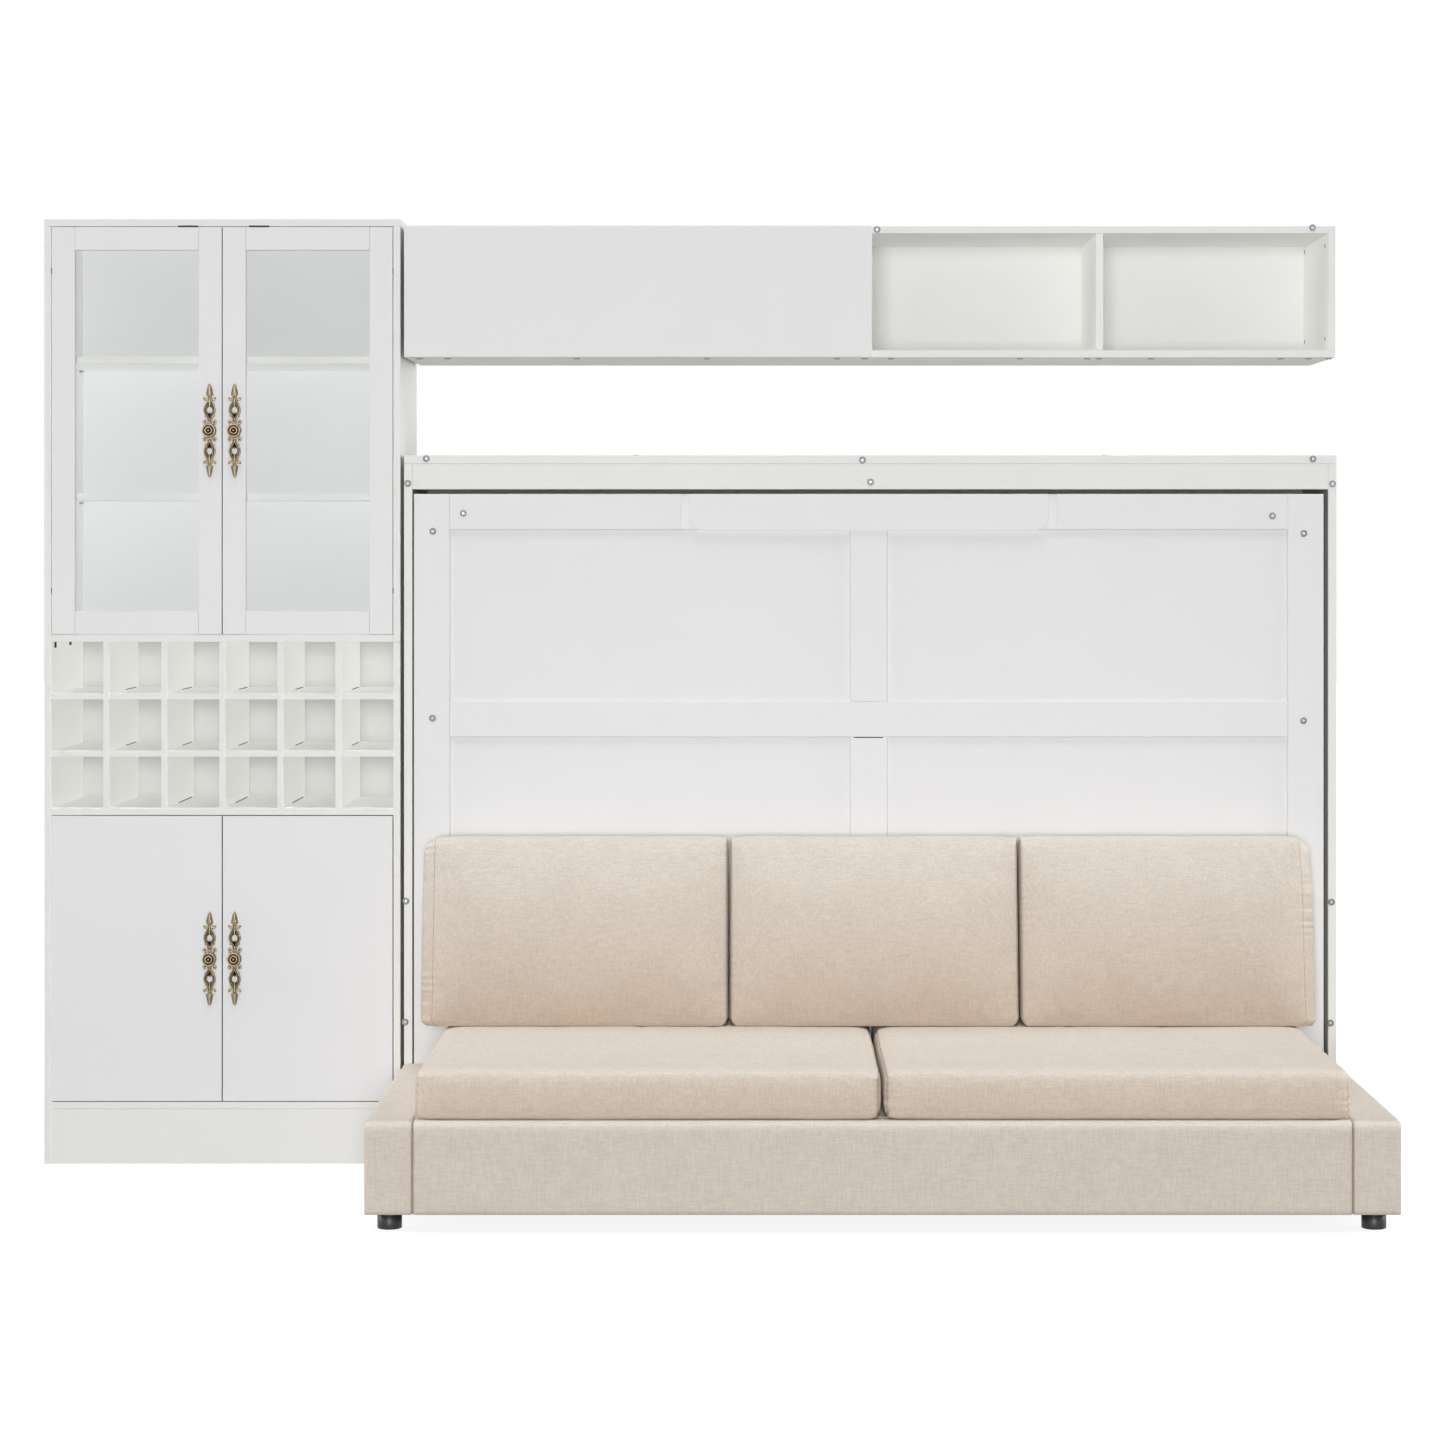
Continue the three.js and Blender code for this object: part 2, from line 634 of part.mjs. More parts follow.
function wallShelf() {
  const shelfX = [bedLeft, bedRight];
  const y = [wallShelfFront, cabinetDepth - wallShelfBackPanel - jointGap];
  const lowerZ = [wallShelfBottom, wallShelfBottom + wallShelfBoard];
  const upperZ = [wallShelfTop - wallShelfBoard, wallShelfTop];
  const innerZ = between(lowerZ[1], upperZ[0]);
  add("wall_shelf_bottom", block(shelfX, y, lowerZ), laminate);
  add("wall_shelf_top", block(shelfX, y, upperZ), laminate);
  const standing = (x) => block([x, x + wallShelfBoard], y, innerZ);
  const hangSpacer = spacer((lowerZ[1] + upperZ[0]) / 2);
  add("wall_shelf_end_left", join(standing(bedLeft), hangSpacer), laminate);
  add("wall_shelf_partition", standing(bedLeft + flapWidth - wallShelfBoard), laminate);
  add("wall_shelf_divider", standing(bedLeft + dividerFromLeft), laminate);
  add("wall_shelf_end_right", standing(bedRight - wallShelfBoard), laminate);
  const backY = [cabinetDepth - wallShelfBackPanel, cabinetDepth];
  add("wall_shelf_back", block(shelfX, backY, [wallShelfBottom, wallShelfTop]), laminate);
  const flapX = [bedLeft, bedLeft + flapWidth];
  const armZ = [upperZ[0] - jointGap - flapArmHeight, upperZ[0] - jointGap];
  const armY = [flapThickness - blend, flapThickness + flapArmLength];
  const arm = (x) => block([x - flapArmWidth / 2, x + flapArmWidth / 2], armY, armZ);
  const panel = block(flapX, [0, flapThickness], [wallShelfBottom, wallShelfTop]);
  add("flap_door", join(panel, arm(flapX[0] + flapArmFromEnd), arm(flapX[1] - flapArmFromEnd)), laminate);
}

// Places along one edge of a padded block: a quarter round at each end and even steps between
function edgePlaces(length, radius, steps) {
  const half = length / 2;
  const bend = radius * (1 - Math.tan(Math.PI / 8));
  const inner = half - radius;
  const places = [-half, -half + bend];
  for (let i = 0; i <= steps; i += 1) places.push(-inner + (2 * inner * i) / steps);
  return [...places, half - bend, half];
}

// A block with round edges, crowned on its Z faces and drawn in at its sides
function padded(size, radius, steps, crown = 0, drawIn = 0) {
  const places = size.map((length, axis) => edgePlaces(length, radius, steps[axis]));
  const counts = places.map((list) => list.length - 1);
  const geometry = new THREE.BoxGeometry(1, 1, 1, ...counts);
  const vertex = geometry.attributes.position;
  for (let i = 0; i < vertex.count; i += 1) {
    const unit = [vertex.getX(i), vertex.getY(i), vertex.getZ(i)];
    const flat = unit.map((share, axis) => places[axis][Math.round((share + 0.5) * counts[axis])]);
    const core = flat.map((at, axis) => {
      const reach = size[axis] / 2 - radius;
      return Math.max(-reach, Math.min(reach, at));
    });
    const away = new THREE.Vector3(...flat.map((at, axis) => at - core[axis])).normalize();
    const point = core.map((at, axis) => at + radius * away.getComponent(axis));
    const [sx, sy, sz] = point.map((at, axis) => (2 * at) / size[axis]);
    const middle = (share) => 1 - share * share;
    const plateau = (share) => 1 - share ** 4;
    point[2] += Math.sign(sz) * crown * plateau(sx) * plateau(sy) * Math.abs(sz);
    point[0] -= Math.sign(sx) * drawIn * middle(sy) * sx * sx;
    point[1] -= Math.sign(sy) * drawIn * middle(sx) * sy * sy;
    vertex.setXYZ(i, ...point);
  }
  return geometry;
}

// Keeps each vertex on one side of a limit, where its depth is one that the test takes
function clampAxis(geometry, axis, limit, keep, test = () => true) {
  const vertex = geometry.attributes.position;
  for (let i = 0; i < vertex.count; i += 1) {
    if (test(vertex.getY(i))) vertex.setComponent(i, axis, keep(vertex.getComponent(i, axis), limit));
  }
}

const deckLeft = bedLeft + sofaArmWidth;
const deckRight = bedRight - sofaArmWidth;

function paddedBetween([x0, x1], [y0, y1], [z0, z1]) {
  const geometry = padded([x1 - x0, y1 - y0, z1 - z0], sofaEdgeRadius, [1, 1, 1]);
  geometry.translate((x0 + x1) / 2, (y0 + y1) / 2, (z0 + z1) / 2);
  return geometry;
}

function sofaPlatform() {
  const z = [sofaBottom, sofaTop];
  const y = [sofaFront, -jointGap];
  add("sofa_arm_left", paddedBetween([bedLeft, deckLeft], y, z), upholstery);
  add("sofa_arm_right", paddedBetween([deckRight, bedRight], y, z), upholstery);
  const innerX = between(deckLeft, deckRight);
  const railBack = sofaFront + sofaRailThickness;
  add("sofa_front_rail", paddedBetween(innerX, [sofaFront, railBack], z), upholstery);
  const deckZ = [sofaTop - sofaDeckThickness, sofaTop];
  add("sofa_deck", block(innerX, [railBack + jointGap, -jointGap], deckZ), upholstery);
  const rearY = [-sofaRearRailThickness, -jointGap];
  add("sofa_rear_rail", block(innerX, rearY, [sofaBottom, deckZ[0] - jointGap]), upholstery);
}

function sofaFeet() {
  const xs = [["left", bedLeft + footFromSide], ["right", bedRight - footFromSide]];
  const ys = [["front", sofaFront + footFromFront], ["rear", -footFromFront]];
  const top = footHeight - jointGap;
  for (const [end, y] of ys) {
    for (const [side, x] of xs) {
      const foot = new THREE.LatheGeometry([
        new THREE.Vector2(0, 0), new THREE.Vector2(footRadius - footRim, 0),
        new THREE.Vector2(footRadius, footRim), new THREE.Vector2(footRadius, top), new THREE.Vector2(0, top),
      ], roundSteps);
      foot.rotateX(Math.PI / 2);
      foot.translate(x, y, 0);
      add(`sofa_foot_${end}_${side}`, foot, blackPlastic);
    }
  }
}

// Level at which the back cushions press the seat cushions flat
const seatTop = sofaTop + jointGap + seatCushionThickness + seatCushionCrown - seatCushionDent;
const backLean = THREE.MathUtils.degToRad(backCushionLean);
const backReach = backCushionThickness * Math.cos(backLean) + backCushionHeight * Math.sin(backLean);

function seatCushions() {
  const front = sofaFront + seatCushionFrontGap;
  const depth = -jointGap - front;
  const width = (deckRight - deckLeft) / 2 - cushionGap;
  const bottom = sofaTop + jointGap;
  const middleX = (deckLeft + deckRight) / 2;
  for (const [side, sign] of [["left", -1], ["right", 1]]) {
    const size = [width, depth, seatCushionThickness];
    const cushion = padded(size, seatCushionRound, [6, 7, 1], seatCushionCrown, seatCushionDrawIn);
    const x = middleX + sign * (width + cushionGap) / 2;
    cushion.translate(x, front + depth / 2, bottom + seatCushionThickness / 2);
    clampAxis(cushion, 2, bottom, Math.max);
    clampAxis(cushion, 2, seatTop, Math.min, (y) => y > -backReach);
    add(`seat_cushion_${side}`, cushion, cushionFabric);
  }
}

// The back cushions as they lie, the middle one pressed narrower by the other two
function backCushions() {
  const rise = (backCushionHeight * Math.cos(backLean) + backCushionThickness * Math.sin(backLean)) / 2;
  const rest = faceRecess - jointGap;
  const widths = [
    ["left", backCushionLeftWidth], ["middle", backCushionMiddleWidth], ["right", backCushionRightWidth],
  ];
  let left = bedLeft + backCushionStart;
  for (const [side, width] of widths) {
    const size = [width, backCushionHeight, backCushionThickness];
    const cushion = padded(size, backCushionRound, [6, 5, 1], backCushionCrown, backCushionDrawIn);
    cushion.rotateX(Math.PI / 2 - backLean);
    cushion.translate(left + width / 2, rest - backReach / 2, backCushionTop - rise);
    clampAxis(cushion, 2, seatTop + jointGap, Math.max);
    clampAxis(cushion, 1, rest, Math.min);
    add(`back_cushion_${side}`, cushion, cushionFabric);
    left += width + cushionGap;
  }
}

tallCarcass();
displayShelves();
wineRack();
lowerDoors();
glassDoors();
handles();
bedCabinet();
bedFace();
bedFrame();
slatDeck();
struts();
wallShelf();
sofaPlatform();
sofaFeet();
seatCushions();
backCushions();

export default object;
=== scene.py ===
"""Looks of a wall bed with sofa, built around its CAD frame. Metres, +Z up, the front faces -Y."""
import math

import bmesh
import bpy
from mathutils import Matrix, Vector, noise


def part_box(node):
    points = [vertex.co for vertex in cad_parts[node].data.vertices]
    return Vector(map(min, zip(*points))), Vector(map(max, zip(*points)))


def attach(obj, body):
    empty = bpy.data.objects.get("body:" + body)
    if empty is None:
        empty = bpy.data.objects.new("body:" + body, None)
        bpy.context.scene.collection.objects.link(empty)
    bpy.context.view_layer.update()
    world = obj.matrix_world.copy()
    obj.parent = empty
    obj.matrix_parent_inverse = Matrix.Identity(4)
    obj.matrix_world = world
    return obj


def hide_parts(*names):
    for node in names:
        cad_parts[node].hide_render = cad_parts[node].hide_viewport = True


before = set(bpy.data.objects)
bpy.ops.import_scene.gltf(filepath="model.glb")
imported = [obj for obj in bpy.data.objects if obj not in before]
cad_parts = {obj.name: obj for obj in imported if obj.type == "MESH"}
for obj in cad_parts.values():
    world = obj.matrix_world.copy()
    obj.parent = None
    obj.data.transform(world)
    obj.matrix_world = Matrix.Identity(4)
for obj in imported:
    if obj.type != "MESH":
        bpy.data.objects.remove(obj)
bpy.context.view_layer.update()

MM = 0.001
UP = Vector((0, 0, 1))

# Camera
PHOTO_SIZE = 1445
EYE = Vector((0.152, -8.076, 1.343))
AHEAD_PIXEL = (760, 548)
LENS = 94.8
SENSOR = 36
FOCAL_PIXELS = LENS / SENSOR * PHOTO_SIZE

# Boards
BOARD_BEVEL = 0.7 * MM
JOINT_GAP = 0.3 * MM
RAIL_SEAM = 0.25 * MM
FACE_RAIL = 77 * MM
FACE_SIDE_STILE = 78 * MM
FACE_CENTRE_STILE = 80 * MM
FACE_ROWS = 3
# Width of the painted shadow lines along the face's fields.
FACE_SHADOW_LINE = 1.8 * MM
GLASS_MEMBER = 50 * MM
GLASS_REBATE = 8 * MM
PULL_MARGIN = 18.5 * MM
PULL_CUTOUT_RADIUS = 17 * MM

# Screws
SCREW_RADIUS = 7.6 * MM
SCREW_CROWN = 3.6 * MM
SCREW_HEIGHT = 1.8 * MM
SCREW_SOCKET = 1.3 * MM

# Screw places in the photograph's pixels, by the front plane that carries them
FACE_SCREWS = [
    (463.3, 513.3), (432.8, 531.2), (432.5, 718.2), (1272.5, 515.8), (1303.8, 533.4), (1303.5, 720.7),
]
TOP_EDGE_SCREWS = [(426.3, 458.6), (862.5, 460), (1313, 459)]
HEADER_SCREWS = [(870.5, 482)]
SIDE_SCREWS = [
    (407.7, 483.4), (406, 901), (405, 1022), (1332.6, 483.8), (1331.5, 902), (1330.5, 1023),
]
SHELF_EDGE_SCREWS = [(877, 229.5), (1312.6, 227.8)]
SHELF_UNDER_SCREWS = [
    419.6, 447.5, 577, 707, 837, 864.8, 890.8, 1020, 1087, 1099, 1151, 1281, 1308.5, 1328.7,
]

# Hinges
CUP_RADIUS = 17.5 * MM
HINGE_FROM_END = 95 * MM
ARM_WIDTH = 12 * MM
ARM_LENGTH = 42 * MM
ARM_HEIGHT = 20 * MM

# Soft parts
SEAT_VOXEL = 9 * MM
BACK_VOXEL = 7.5 * MM
SIM_FRAMES = 20
SWELL_CAP = 24 * MM
BACK_LEAN = math.radians(9)
SEAT_SEAM_INSET = 4 * MM
BACK_SEAM_INSET = 9 * MM
BACK_DEPTH = 130 * MM
BACK_SINK = 8 * MM
BOXING_BULGE = 15 * MM
CORNER_ROUND = 26 * MM
END_ROUND = 18 * MM
END_TIGHT = 6 * MM
END_FADE = 120 * MM
SEAM_RADIUS = 0.8 * MM
SEAM_WIDTH = 2.2 * MM
SEAM_DEPTH = 1.6 * MM
PUCKER_SPACING = 15 * MM
PUCKER_LENGTH = 38 * MM
PUCKER_HEIGHT = 1.0 * MM
CORNER_PUCKER = 1.2
CORNER_REACH = 30 * MM
SEAT_DENT = 6.5 * MM
BASE_ROLL = 14 * MM
BASE_EDGE = 4 * MM
BASE_FADE = 40 * MM

# Studio
AMBIENT = 0.05
FLOOR_LIFT_NEAR = 0.88
FLOOR_LIFT_FAR = 1.0
FLOOR_NEAR = 2.4
FLOOR_FAR = 6.0
OVERHEAD_SPREAD = math.radians(20)


def photo_point(pixel_x, pixel_y, y):
    """The point at depth y that the photograph shows at a pixel."""
    reach = (y - EYE.y) / FOCAL_PIXELS
    across = (pixel_x - AHEAD_PIXEL[0]) * reach
    down = (pixel_y - AHEAD_PIXEL[1]) * reach
    return Vector((EYE.x + across, y, EYE.z - down))


def make_camera():
    data = bpy.data.cameras.new("camera")
    data.lens = LENS
    data.sensor_width = SENSOR
    data.shift_x = (PHOTO_SIZE / 2 - AHEAD_PIXEL[0]) / PHOTO_SIZE
    data.shift_y = (AHEAD_PIXEL[1] - PHOTO_SIZE / 2) / PHOTO_SIZE
    camera = bpy.data.objects.new("camera", data)
    camera.location = EYE
    camera.rotation_euler = (math.pi / 2, 0, 0)
    bpy.context.scene.collection.objects.link(camera)
    bpy.context.scene.camera = camera


# Materials
def colour(red, green, blue):
    """An sRGB colour, 0 to 255, as linear RGBA."""
    def linear(value):
        share = value / 255
        return share / 12.92 if share <= 0.04045 else ((share + 0.055) / 1.055) ** 2.4
    return (linear(red), linear(green), linear(blue), 1)


class Graph:
    """A material with short calls to add and join its nodes."""

    def __init__(self, name, **settings):
        self.material = bpy.data.materials.new(name)
        self.material.use_nodes = True
        self.tree = self.material.node_tree
        self.shader = self.tree.nodes["Principled BSDF"]
        self.place = self.add("TexCoord").outputs["Object"]
        for key, value in settings.items():
            self.shader.inputs[key.replace("_", " ")].default_value = value

    def add(self, kind, inputs=None, **properties):
        made = self.tree.nodes.new("ShaderNode" + kind)
        for key, value in properties.items():
            setattr(made, key, value)
        for key, value in (inputs or {}).items():
            if isinstance(value, bpy.types.NodeSocket):
                self.tree.links.new(value, made.inputs[key])
            else:
                made.inputs[key].default_value = value
        return made

    def stretched(self, stretch):
        return self.add("Mapping", {"Vector": self.place, "Scale": stretch}).outputs["Vector"]

    def noise(self, scale, detail=2, stretch=(1, 1, 1)):
        inputs = {"Vector": self.stretched(stretch), "Scale": scale, "Detail": detail}
        return self.add("TexNoise", inputs).outputs["Fac"]

    def wave(self, axis, scale, distortion=0):
        inputs = {"Vector": self.place, "Scale": scale, "Distortion": distortion}
        return self.add("TexWave", inputs, bands_direction=axis).outputs["Fac"]

    def math(self, operation, a, b=0.0):
        return self.add("Math", {0: a, 1: b}, operation=operation).outputs["Value"]

    def total(self, *values):
        whole = values[0]
        for value in values[1:]:
            whole = self.math("ADD", whole, value)
        return whole

    def span(self, value, low, high, out_low, out_high):
        inputs = {"Value": value, "From Min": low, "From Max": high, "To Min": out_low, "To Max": out_high}
        return self.add("MapRange", inputs).outputs["Result"]

    def mix(self, factor, first, second):
        made = self.add("Mix", data_type="RGBA")
        for socket, value in zip((made.inputs[0], made.inputs[6], made.inputs[7]), (factor, first, second)):
            if isinstance(value, bpy.types.NodeSocket):
                self.tree.links.new(value, socket)
            else:
                socket.default_value = value
        return made.outputs[2]

    def bump(self, height, distance, strength=1.0, normal=None):
        inputs = {"Height": height, "Distance": distance, "Strength": strength}
        if normal:
            inputs["Normal"] = normal
        return self.add("Bump", inputs).outputs["Normal"]

    def drive(self, **sockets):
        for key, value in sockets.items():
            self.tree.links.new(value, self.shader.inputs[key.replace("_", " ")])
        return self.material


def laminate(name, tone, deep, rear=None):
    """Melamine-faced board: a satin skin with a faint pore texture and uneven gloss; given a rear tone, faces turned
    backwards take it, and a front tone darker than the rear is painted shade.
    """
    graph = Graph(name, Roughness=0.6, Specular_IOR_Level=0.18)
    cloudy = graph.noise(1.7, 3)
    pores = graph.noise(700, 2)
    skin = graph.noise(160, 2)
    base = graph.mix(graph.span(cloudy, 0.35, 0.65, 0, 1), tone, deep)
    # Faces turned backwards take the rear tone; a darker front tone is painted shade.
    if rear:
        normal = graph.add("NewGeometry").outputs["Normal"]
        backward = graph.add("SeparateXYZ", {0: normal}).outputs["Y"]
        base = graph.mix(graph.span(backward, -0.5, 0.5, 0, 1), base, rear)
    gloss = graph.span(graph.noise(9, 4), 0.3, 0.7, 0.56, 0.65)
    fine = graph.bump(pores, 0.05 * MM, 0.5)
    return graph.drive(Base_Color=base, Roughness=gloss, Normal=graph.bump(skin, 0.12 * MM, 0.35, fine))


def linen(name, pale, warm, turn=(-0.25, 0.75), climb=None, slub_contrast=0.075):
    """Plain-weave linen: slubs and a fine thread grid, with painted light: paler where it faces up or over a climb in
    height.
    """
    graph = Graph(name, Roughness=0.9, Specular_IOR_Level=0.2, Sheen_Weight=0.12, Sheen_Roughness=0.45)
    graph.shader.inputs["Sheen Tint"].default_value = colour(255, 252, 248)
    fine = 430
    along = 45
    slubs = [
        graph.noise(1, 3, tuple(along if axis == length else fine for axis in range(3)))
        for length in range(3)
    ]
    slub = graph.total(*slubs)
    cloudy = graph.noise(13, 3)
    threads = graph.total(*[graph.wave(axis, 130, 1.2) for axis in "XYZ"])
    normal = graph.add("NewGeometry").outputs["Normal"]
    upward = graph.add("SeparateXYZ", {0: normal}).outputs["Z"]
    # Painted light from above: faces turned up, and with a climb the upper part, take the pale tone; the rest takes the
    # warm, shaded tone.
    painted_top_light = graph.span(upward, *turn, 0, 1)
    if climb:
        height = graph.add("SeparateXYZ", {0: graph.place}).outputs["Z"]
        painted_top_light = graph.total(graph.math("MULTIPLY", painted_top_light, 0.35), graph.span(height, *climb, 0, 0.65))
    base = graph.mix(painted_top_light, warm, pale)
    light = graph.total(
        graph.span(slub, 1.3, 1.7, -slub_contrast, slub_contrast),
        graph.span(cloudy, 0.3, 0.7, -0.015, 0.015), graph.span(threads, 0.6, 2.4, -0.02, 0.02),
    )
    base = graph.add("HueSaturation", {"Color": base, "Value": graph.math("ADD", light, 1.0)}).outputs["Color"]
    weave = graph.bump(threads, 0.25 * MM, 0.45)
    return graph.drive(Base_Color=base, Normal=graph.bump(slub, 0.5 * MM, 0.55, weave))


def antique_brass():
    """Cast brass with dark patina in its recesses and worn, brighter ridges; the recesses are partly painted shade and
    the ridges partly painted highlights.
    """
    graph = Graph("antique_brass", Metallic=0.9)
    ridge = graph.add("NewGeometry").outputs["Pointiness"]
    patina = graph.noise(260, 4)
    # Recesses darker by depth above the door and by ambient occlusion, ridges lighter by pointiness: patina and wear,
    # partly painted shade and painted highlights.
    depth = graph.add("SeparateXYZ", {0: graph.place}).outputs["Y"]
    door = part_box("handle_glass_left")[1].y
    height = graph.span(depth, door - 1.6 * MM, door - 4.1 * MM, -0.5, 0.35)
    shade = graph.add("AmbientOcclusion", {"Distance": 3 * MM}, only_local=True, samples=8).outputs["AO"]
    wear_and_painted_light = graph.total(
        graph.span(ridge, 0.47, 0.53, -0.2, 0.45), graph.span(patina, 0.3, 0.7, -0.1, 0.15), height,
        graph.span(shade, 0.35, 0.9, -0.6, 0.2),
    )
    base = graph.mix(graph.span(wear_and_painted_light, 0, 0.75, 0, 1), colour(18, 13, 8), colour(86, 74, 57))
    base = graph.mix(graph.span(wear_and_painted_light, 0.75, 1.15, 0, 1), base, colour(172, 155, 126))
    rough = graph.span(graph.noise(420, 3), 0.3, 0.7, 0.3, 0.5)
    return graph.drive(Base_Color=base, Roughness=rough, Normal=graph.bump(patina, 0.15 * MM, 0.5))


def metal(name, tone, dark, roughness):
    """Plated or turned steel with fine brushing and light stains."""
    graph = Graph(name, Metallic=0.95, Roughness=roughness)
    stain = graph.noise(45, 4)
    brushing = graph.noise(1, 2, (2500, 160, 160))
    base = graph.mix(graph.span(stain, 0.35, 0.7, 0, 1), tone, dark)
    gloss = graph.span(brushing, 0.3, 0.7, roughness - 0.06, roughness + 0.08)
    return graph.drive(Base_Color=base, Roughness=gloss, Normal=graph.bump(brushing, 0.02 * MM, 0.4))


def plastic(name, tone, dark, roughness):
    """Moulded plastic with a fine spark-eroded grain."""
    graph = Graph(name, Roughness=roughness, Specular_IOR_Level=0.45)
    grain = graph.noise(1500, 2)
    base = graph.mix(graph.span(graph.noise(60, 3), 0.3, 0.7, 0, 1), tone, dark)
    gloss = graph.span(grain, 0.3, 0.7, roughness - 0.05, roughness + 0.08)
    return graph.drive(Base_Color=base, Roughness=gloss, Normal=graph.bump(grain, 0.06 * MM, 0.5))


def slat_wood():
    """Poplar slats: long soft grain along Z with a few darker streaks."""
    graph = Graph("slat_wood", Roughness=0.6, Specular_IOR_Level=0.3)
    grain = graph.noise(1, 5, (90, 90, 2.2))
    pores = graph.noise(1, 3, (900, 900, 30))
    base = graph.mix(graph.span(grain, 0.3, 0.7, 0, 1), colour(214, 186, 141), colour(184, 148, 101))
    base = graph.mix(graph.span(pores, 0.5, 0.75, 0, 0.35), base, colour(150, 113, 72))
    return graph.drive(Base_Color=base, Normal=graph.bump(pores, 0.1 * MM, 0.6))


def clear_glass():
    """Thin float glass that lets lamps through, with a trace of grey."""
    graph = Graph("clear_glass", Roughness=0.01, IOR=1.45, Transmission_Weight=1.0)
    tint = colour(252, 253, 253)
    graph.shader.inputs["Base Color"].default_value = tint
    smears = graph.noise(11, 3)
    graph.tree.links.new(graph.span(smears, 0.4, 0.75, 0.004, 0.02), graph.shader.inputs["Roughness"])
    path = graph.add("LightPath").outputs
    passes = graph.math("MAXIMUM", path["Is Shadow Ray"], path["Is Diffuse Ray"])
    through = graph.add("BsdfTransparent", {"Color": tint}).outputs["BSDF"]
    mixed = graph.add("MixShader", {0: passes, 1: graph.shader.outputs["BSDF"], 2: through})
    output = graph.tree.nodes["Material Output"]
    graph.tree.links.new(mixed.outputs["Shader"], output.inputs["Surface"])
    return graph.material


BACK_TONE = colour(226, 226, 223)
MATERIALS = {
    "panel": laminate("panel_laminate", colour(230, 230, 231), colour(229, 229, 230)),
    # The rack's and the wall shelf's back panels are darker on their front faces than the rear tone: painted shade
    # inside the cells and the open shelf.
    "rack_back": laminate("rack_back_painted_shade_laminate", colour(206, 206, 204), colour(204, 204, 202), BACK_TONE),
    "shelf_back": laminate("shelf_back_painted_shade_laminate", colour(223, 223, 221), colour(221, 221, 219), BACK_TONE),
    "glass_back": laminate("glass_back_laminate", colour(226, 227, 228), colour(224, 225, 226), BACK_TONE),
    # The groove laminate is a darker copy of the panel laminate: painted shadow for the face's edge lines.
    "groove": laminate("shadow_line_laminate", colour(196, 195, 195), colour(192, 191, 191)),
    "carcass": laminate("carcass_laminate", colour(231, 231, 228), colour(229, 229, 226)),
    # Each linen's pale tone is painted light on faces turned up, and on the back cushions also higher up; its warm tone
    # is painted shade on fronts and lower parts.
    "cushion": linen("cushion_linen", colour(218, 208, 197), colour(208, 192, 175), (-0.1, 0.6)),
    "back": linen("back_linen", colour(217, 209, 200), colour(188, 172, 155), (-0.12, 0.42), (0.34, 0.7)),
    # The seam linen is darker than the cushions: painted shade in the seams' grooves.
    "seam": linen("seam_shade_linen", colour(176, 158, 137), colour(158, 140, 121)),
    "base": linen("base_linen", colour(219, 210, 200), colour(210, 199, 188), (0, 0.45)),
    "brass": antique_brass(),
    "zinc": metal("zinc_plate", colour(190, 193, 197), colour(150, 153, 158), 0.32),
    "nickel": metal("nickel_rim", colour(132, 133, 135), colour(104, 105, 107), 0.5),
    "steel": metal("rod_steel", colour(205, 207, 210), colour(180, 183, 187), 0.16),
    "black": plastic("black_plastic", colour(34, 34, 35), colour(26, 26, 27), 0.42),
    "painted": plastic("strut_paint", colour(30, 30, 31), colour(22, 22, 23), 0.3),
    # The shadow finish is painted shadow in gaps, joints and a slit, and the own dark colour of the catches and bolt
    # ends.
    "shadow": plastic("gap_shadow_and_dark_parts", colour(58, 50, 44), colour(40, 35, 31), 0.8),
    "wood": slat_wood(),
    "glass": clear_glass(),
}


# Building pieces
def piece(name, mesh, finish, body, replaces=(), smooth=True):
    """A new piece in its finish, riding on a body and standing for CAD nodes."""
    made = bpy.data.objects.new(name, mesh)
    bpy.context.scene.collection.objects.link(made)
    if smooth:
        mesh.shade_smooth()
    mesh.materials.clear()
    mesh.materials.append(MATERIALS[finish])
    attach(made, body)
    if replaces:
        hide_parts(*replaces)
    return made


def mesh_from(shape, name):
    mesh = bpy.data.meshes.new(name)
    shape.to_mesh(mesh)
    shape.free()
    return mesh


def add_box(shape, low, high, bevel=BOARD_BEVEL, segments=2):
    """A board with eased edges, added to a bmesh."""
    low, high = Vector(low), Vector(high)
    size = high - low
    matrix = Matrix.Translation((low + high) / 2) @ Matrix.Diagonal((*size, 1))
    corners = bmesh.ops.create_cube(shape, size=1, matrix=matrix)["verts"]
    edges = list({edge for corner in corners for edge in corner.link_edges})
    if bevel:
        width = min(bevel, min(size) * 0.45)
        bmesh.ops.bevel(
            shape, geom=edges, offset=width, segments=segments, profile=0.5, affect="EDGES",
        )


def boards(name, boxes, finish, body, replaces=(), bevel=BOARD_BEVEL):
    """Boards given by their low and high corners, as one piece."""
    shape = bmesh.new()
    for low, high in boxes:
        add_box(shape, low, high, bevel)
    made = piece(name, mesh_from(shape, name), finish, body, replaces)
    flatten_shading(made)
    return made


def flatten_shading(made):
    """Keeps flat faces flat beside their eased edges."""
    weighted = made.modifiers.new("weighted", "WEIGHTED_NORMAL")
    weighted.keep_sharp = True


def add_lathe(shape, profile, matrix, steps=32):
    """A turned form: profile of (radius, height) about Z, added to a bmesh with its own matrix."""
    rings = []
    for radius, height in profile:
        if radius < 1e-7:
            rings.append([shape.verts.new(matrix @ Vector((0, 0, height)))])
            continue
        ring = []
        for step in range(steps):
            angle = 2 * math.pi * step / steps
            point = Vector((radius * math.cos(angle), radius * math.sin(angle), height))
            ring.append(shape.verts.new(matrix @ point))
        rings.append(ring)
    for low, high in zip(rings, rings[1:]):
        for step in range(steps):
            after = (step + 1) % steps
            if len(low) == 1:
                shape.faces.new((low[0], high[after], high[step]))
            elif len(high) == 1:
                shape.faces.new((low[step], low[after], high[0]))
            else:
                shape.faces.new((low[step], low[after], high[after], high[step]))


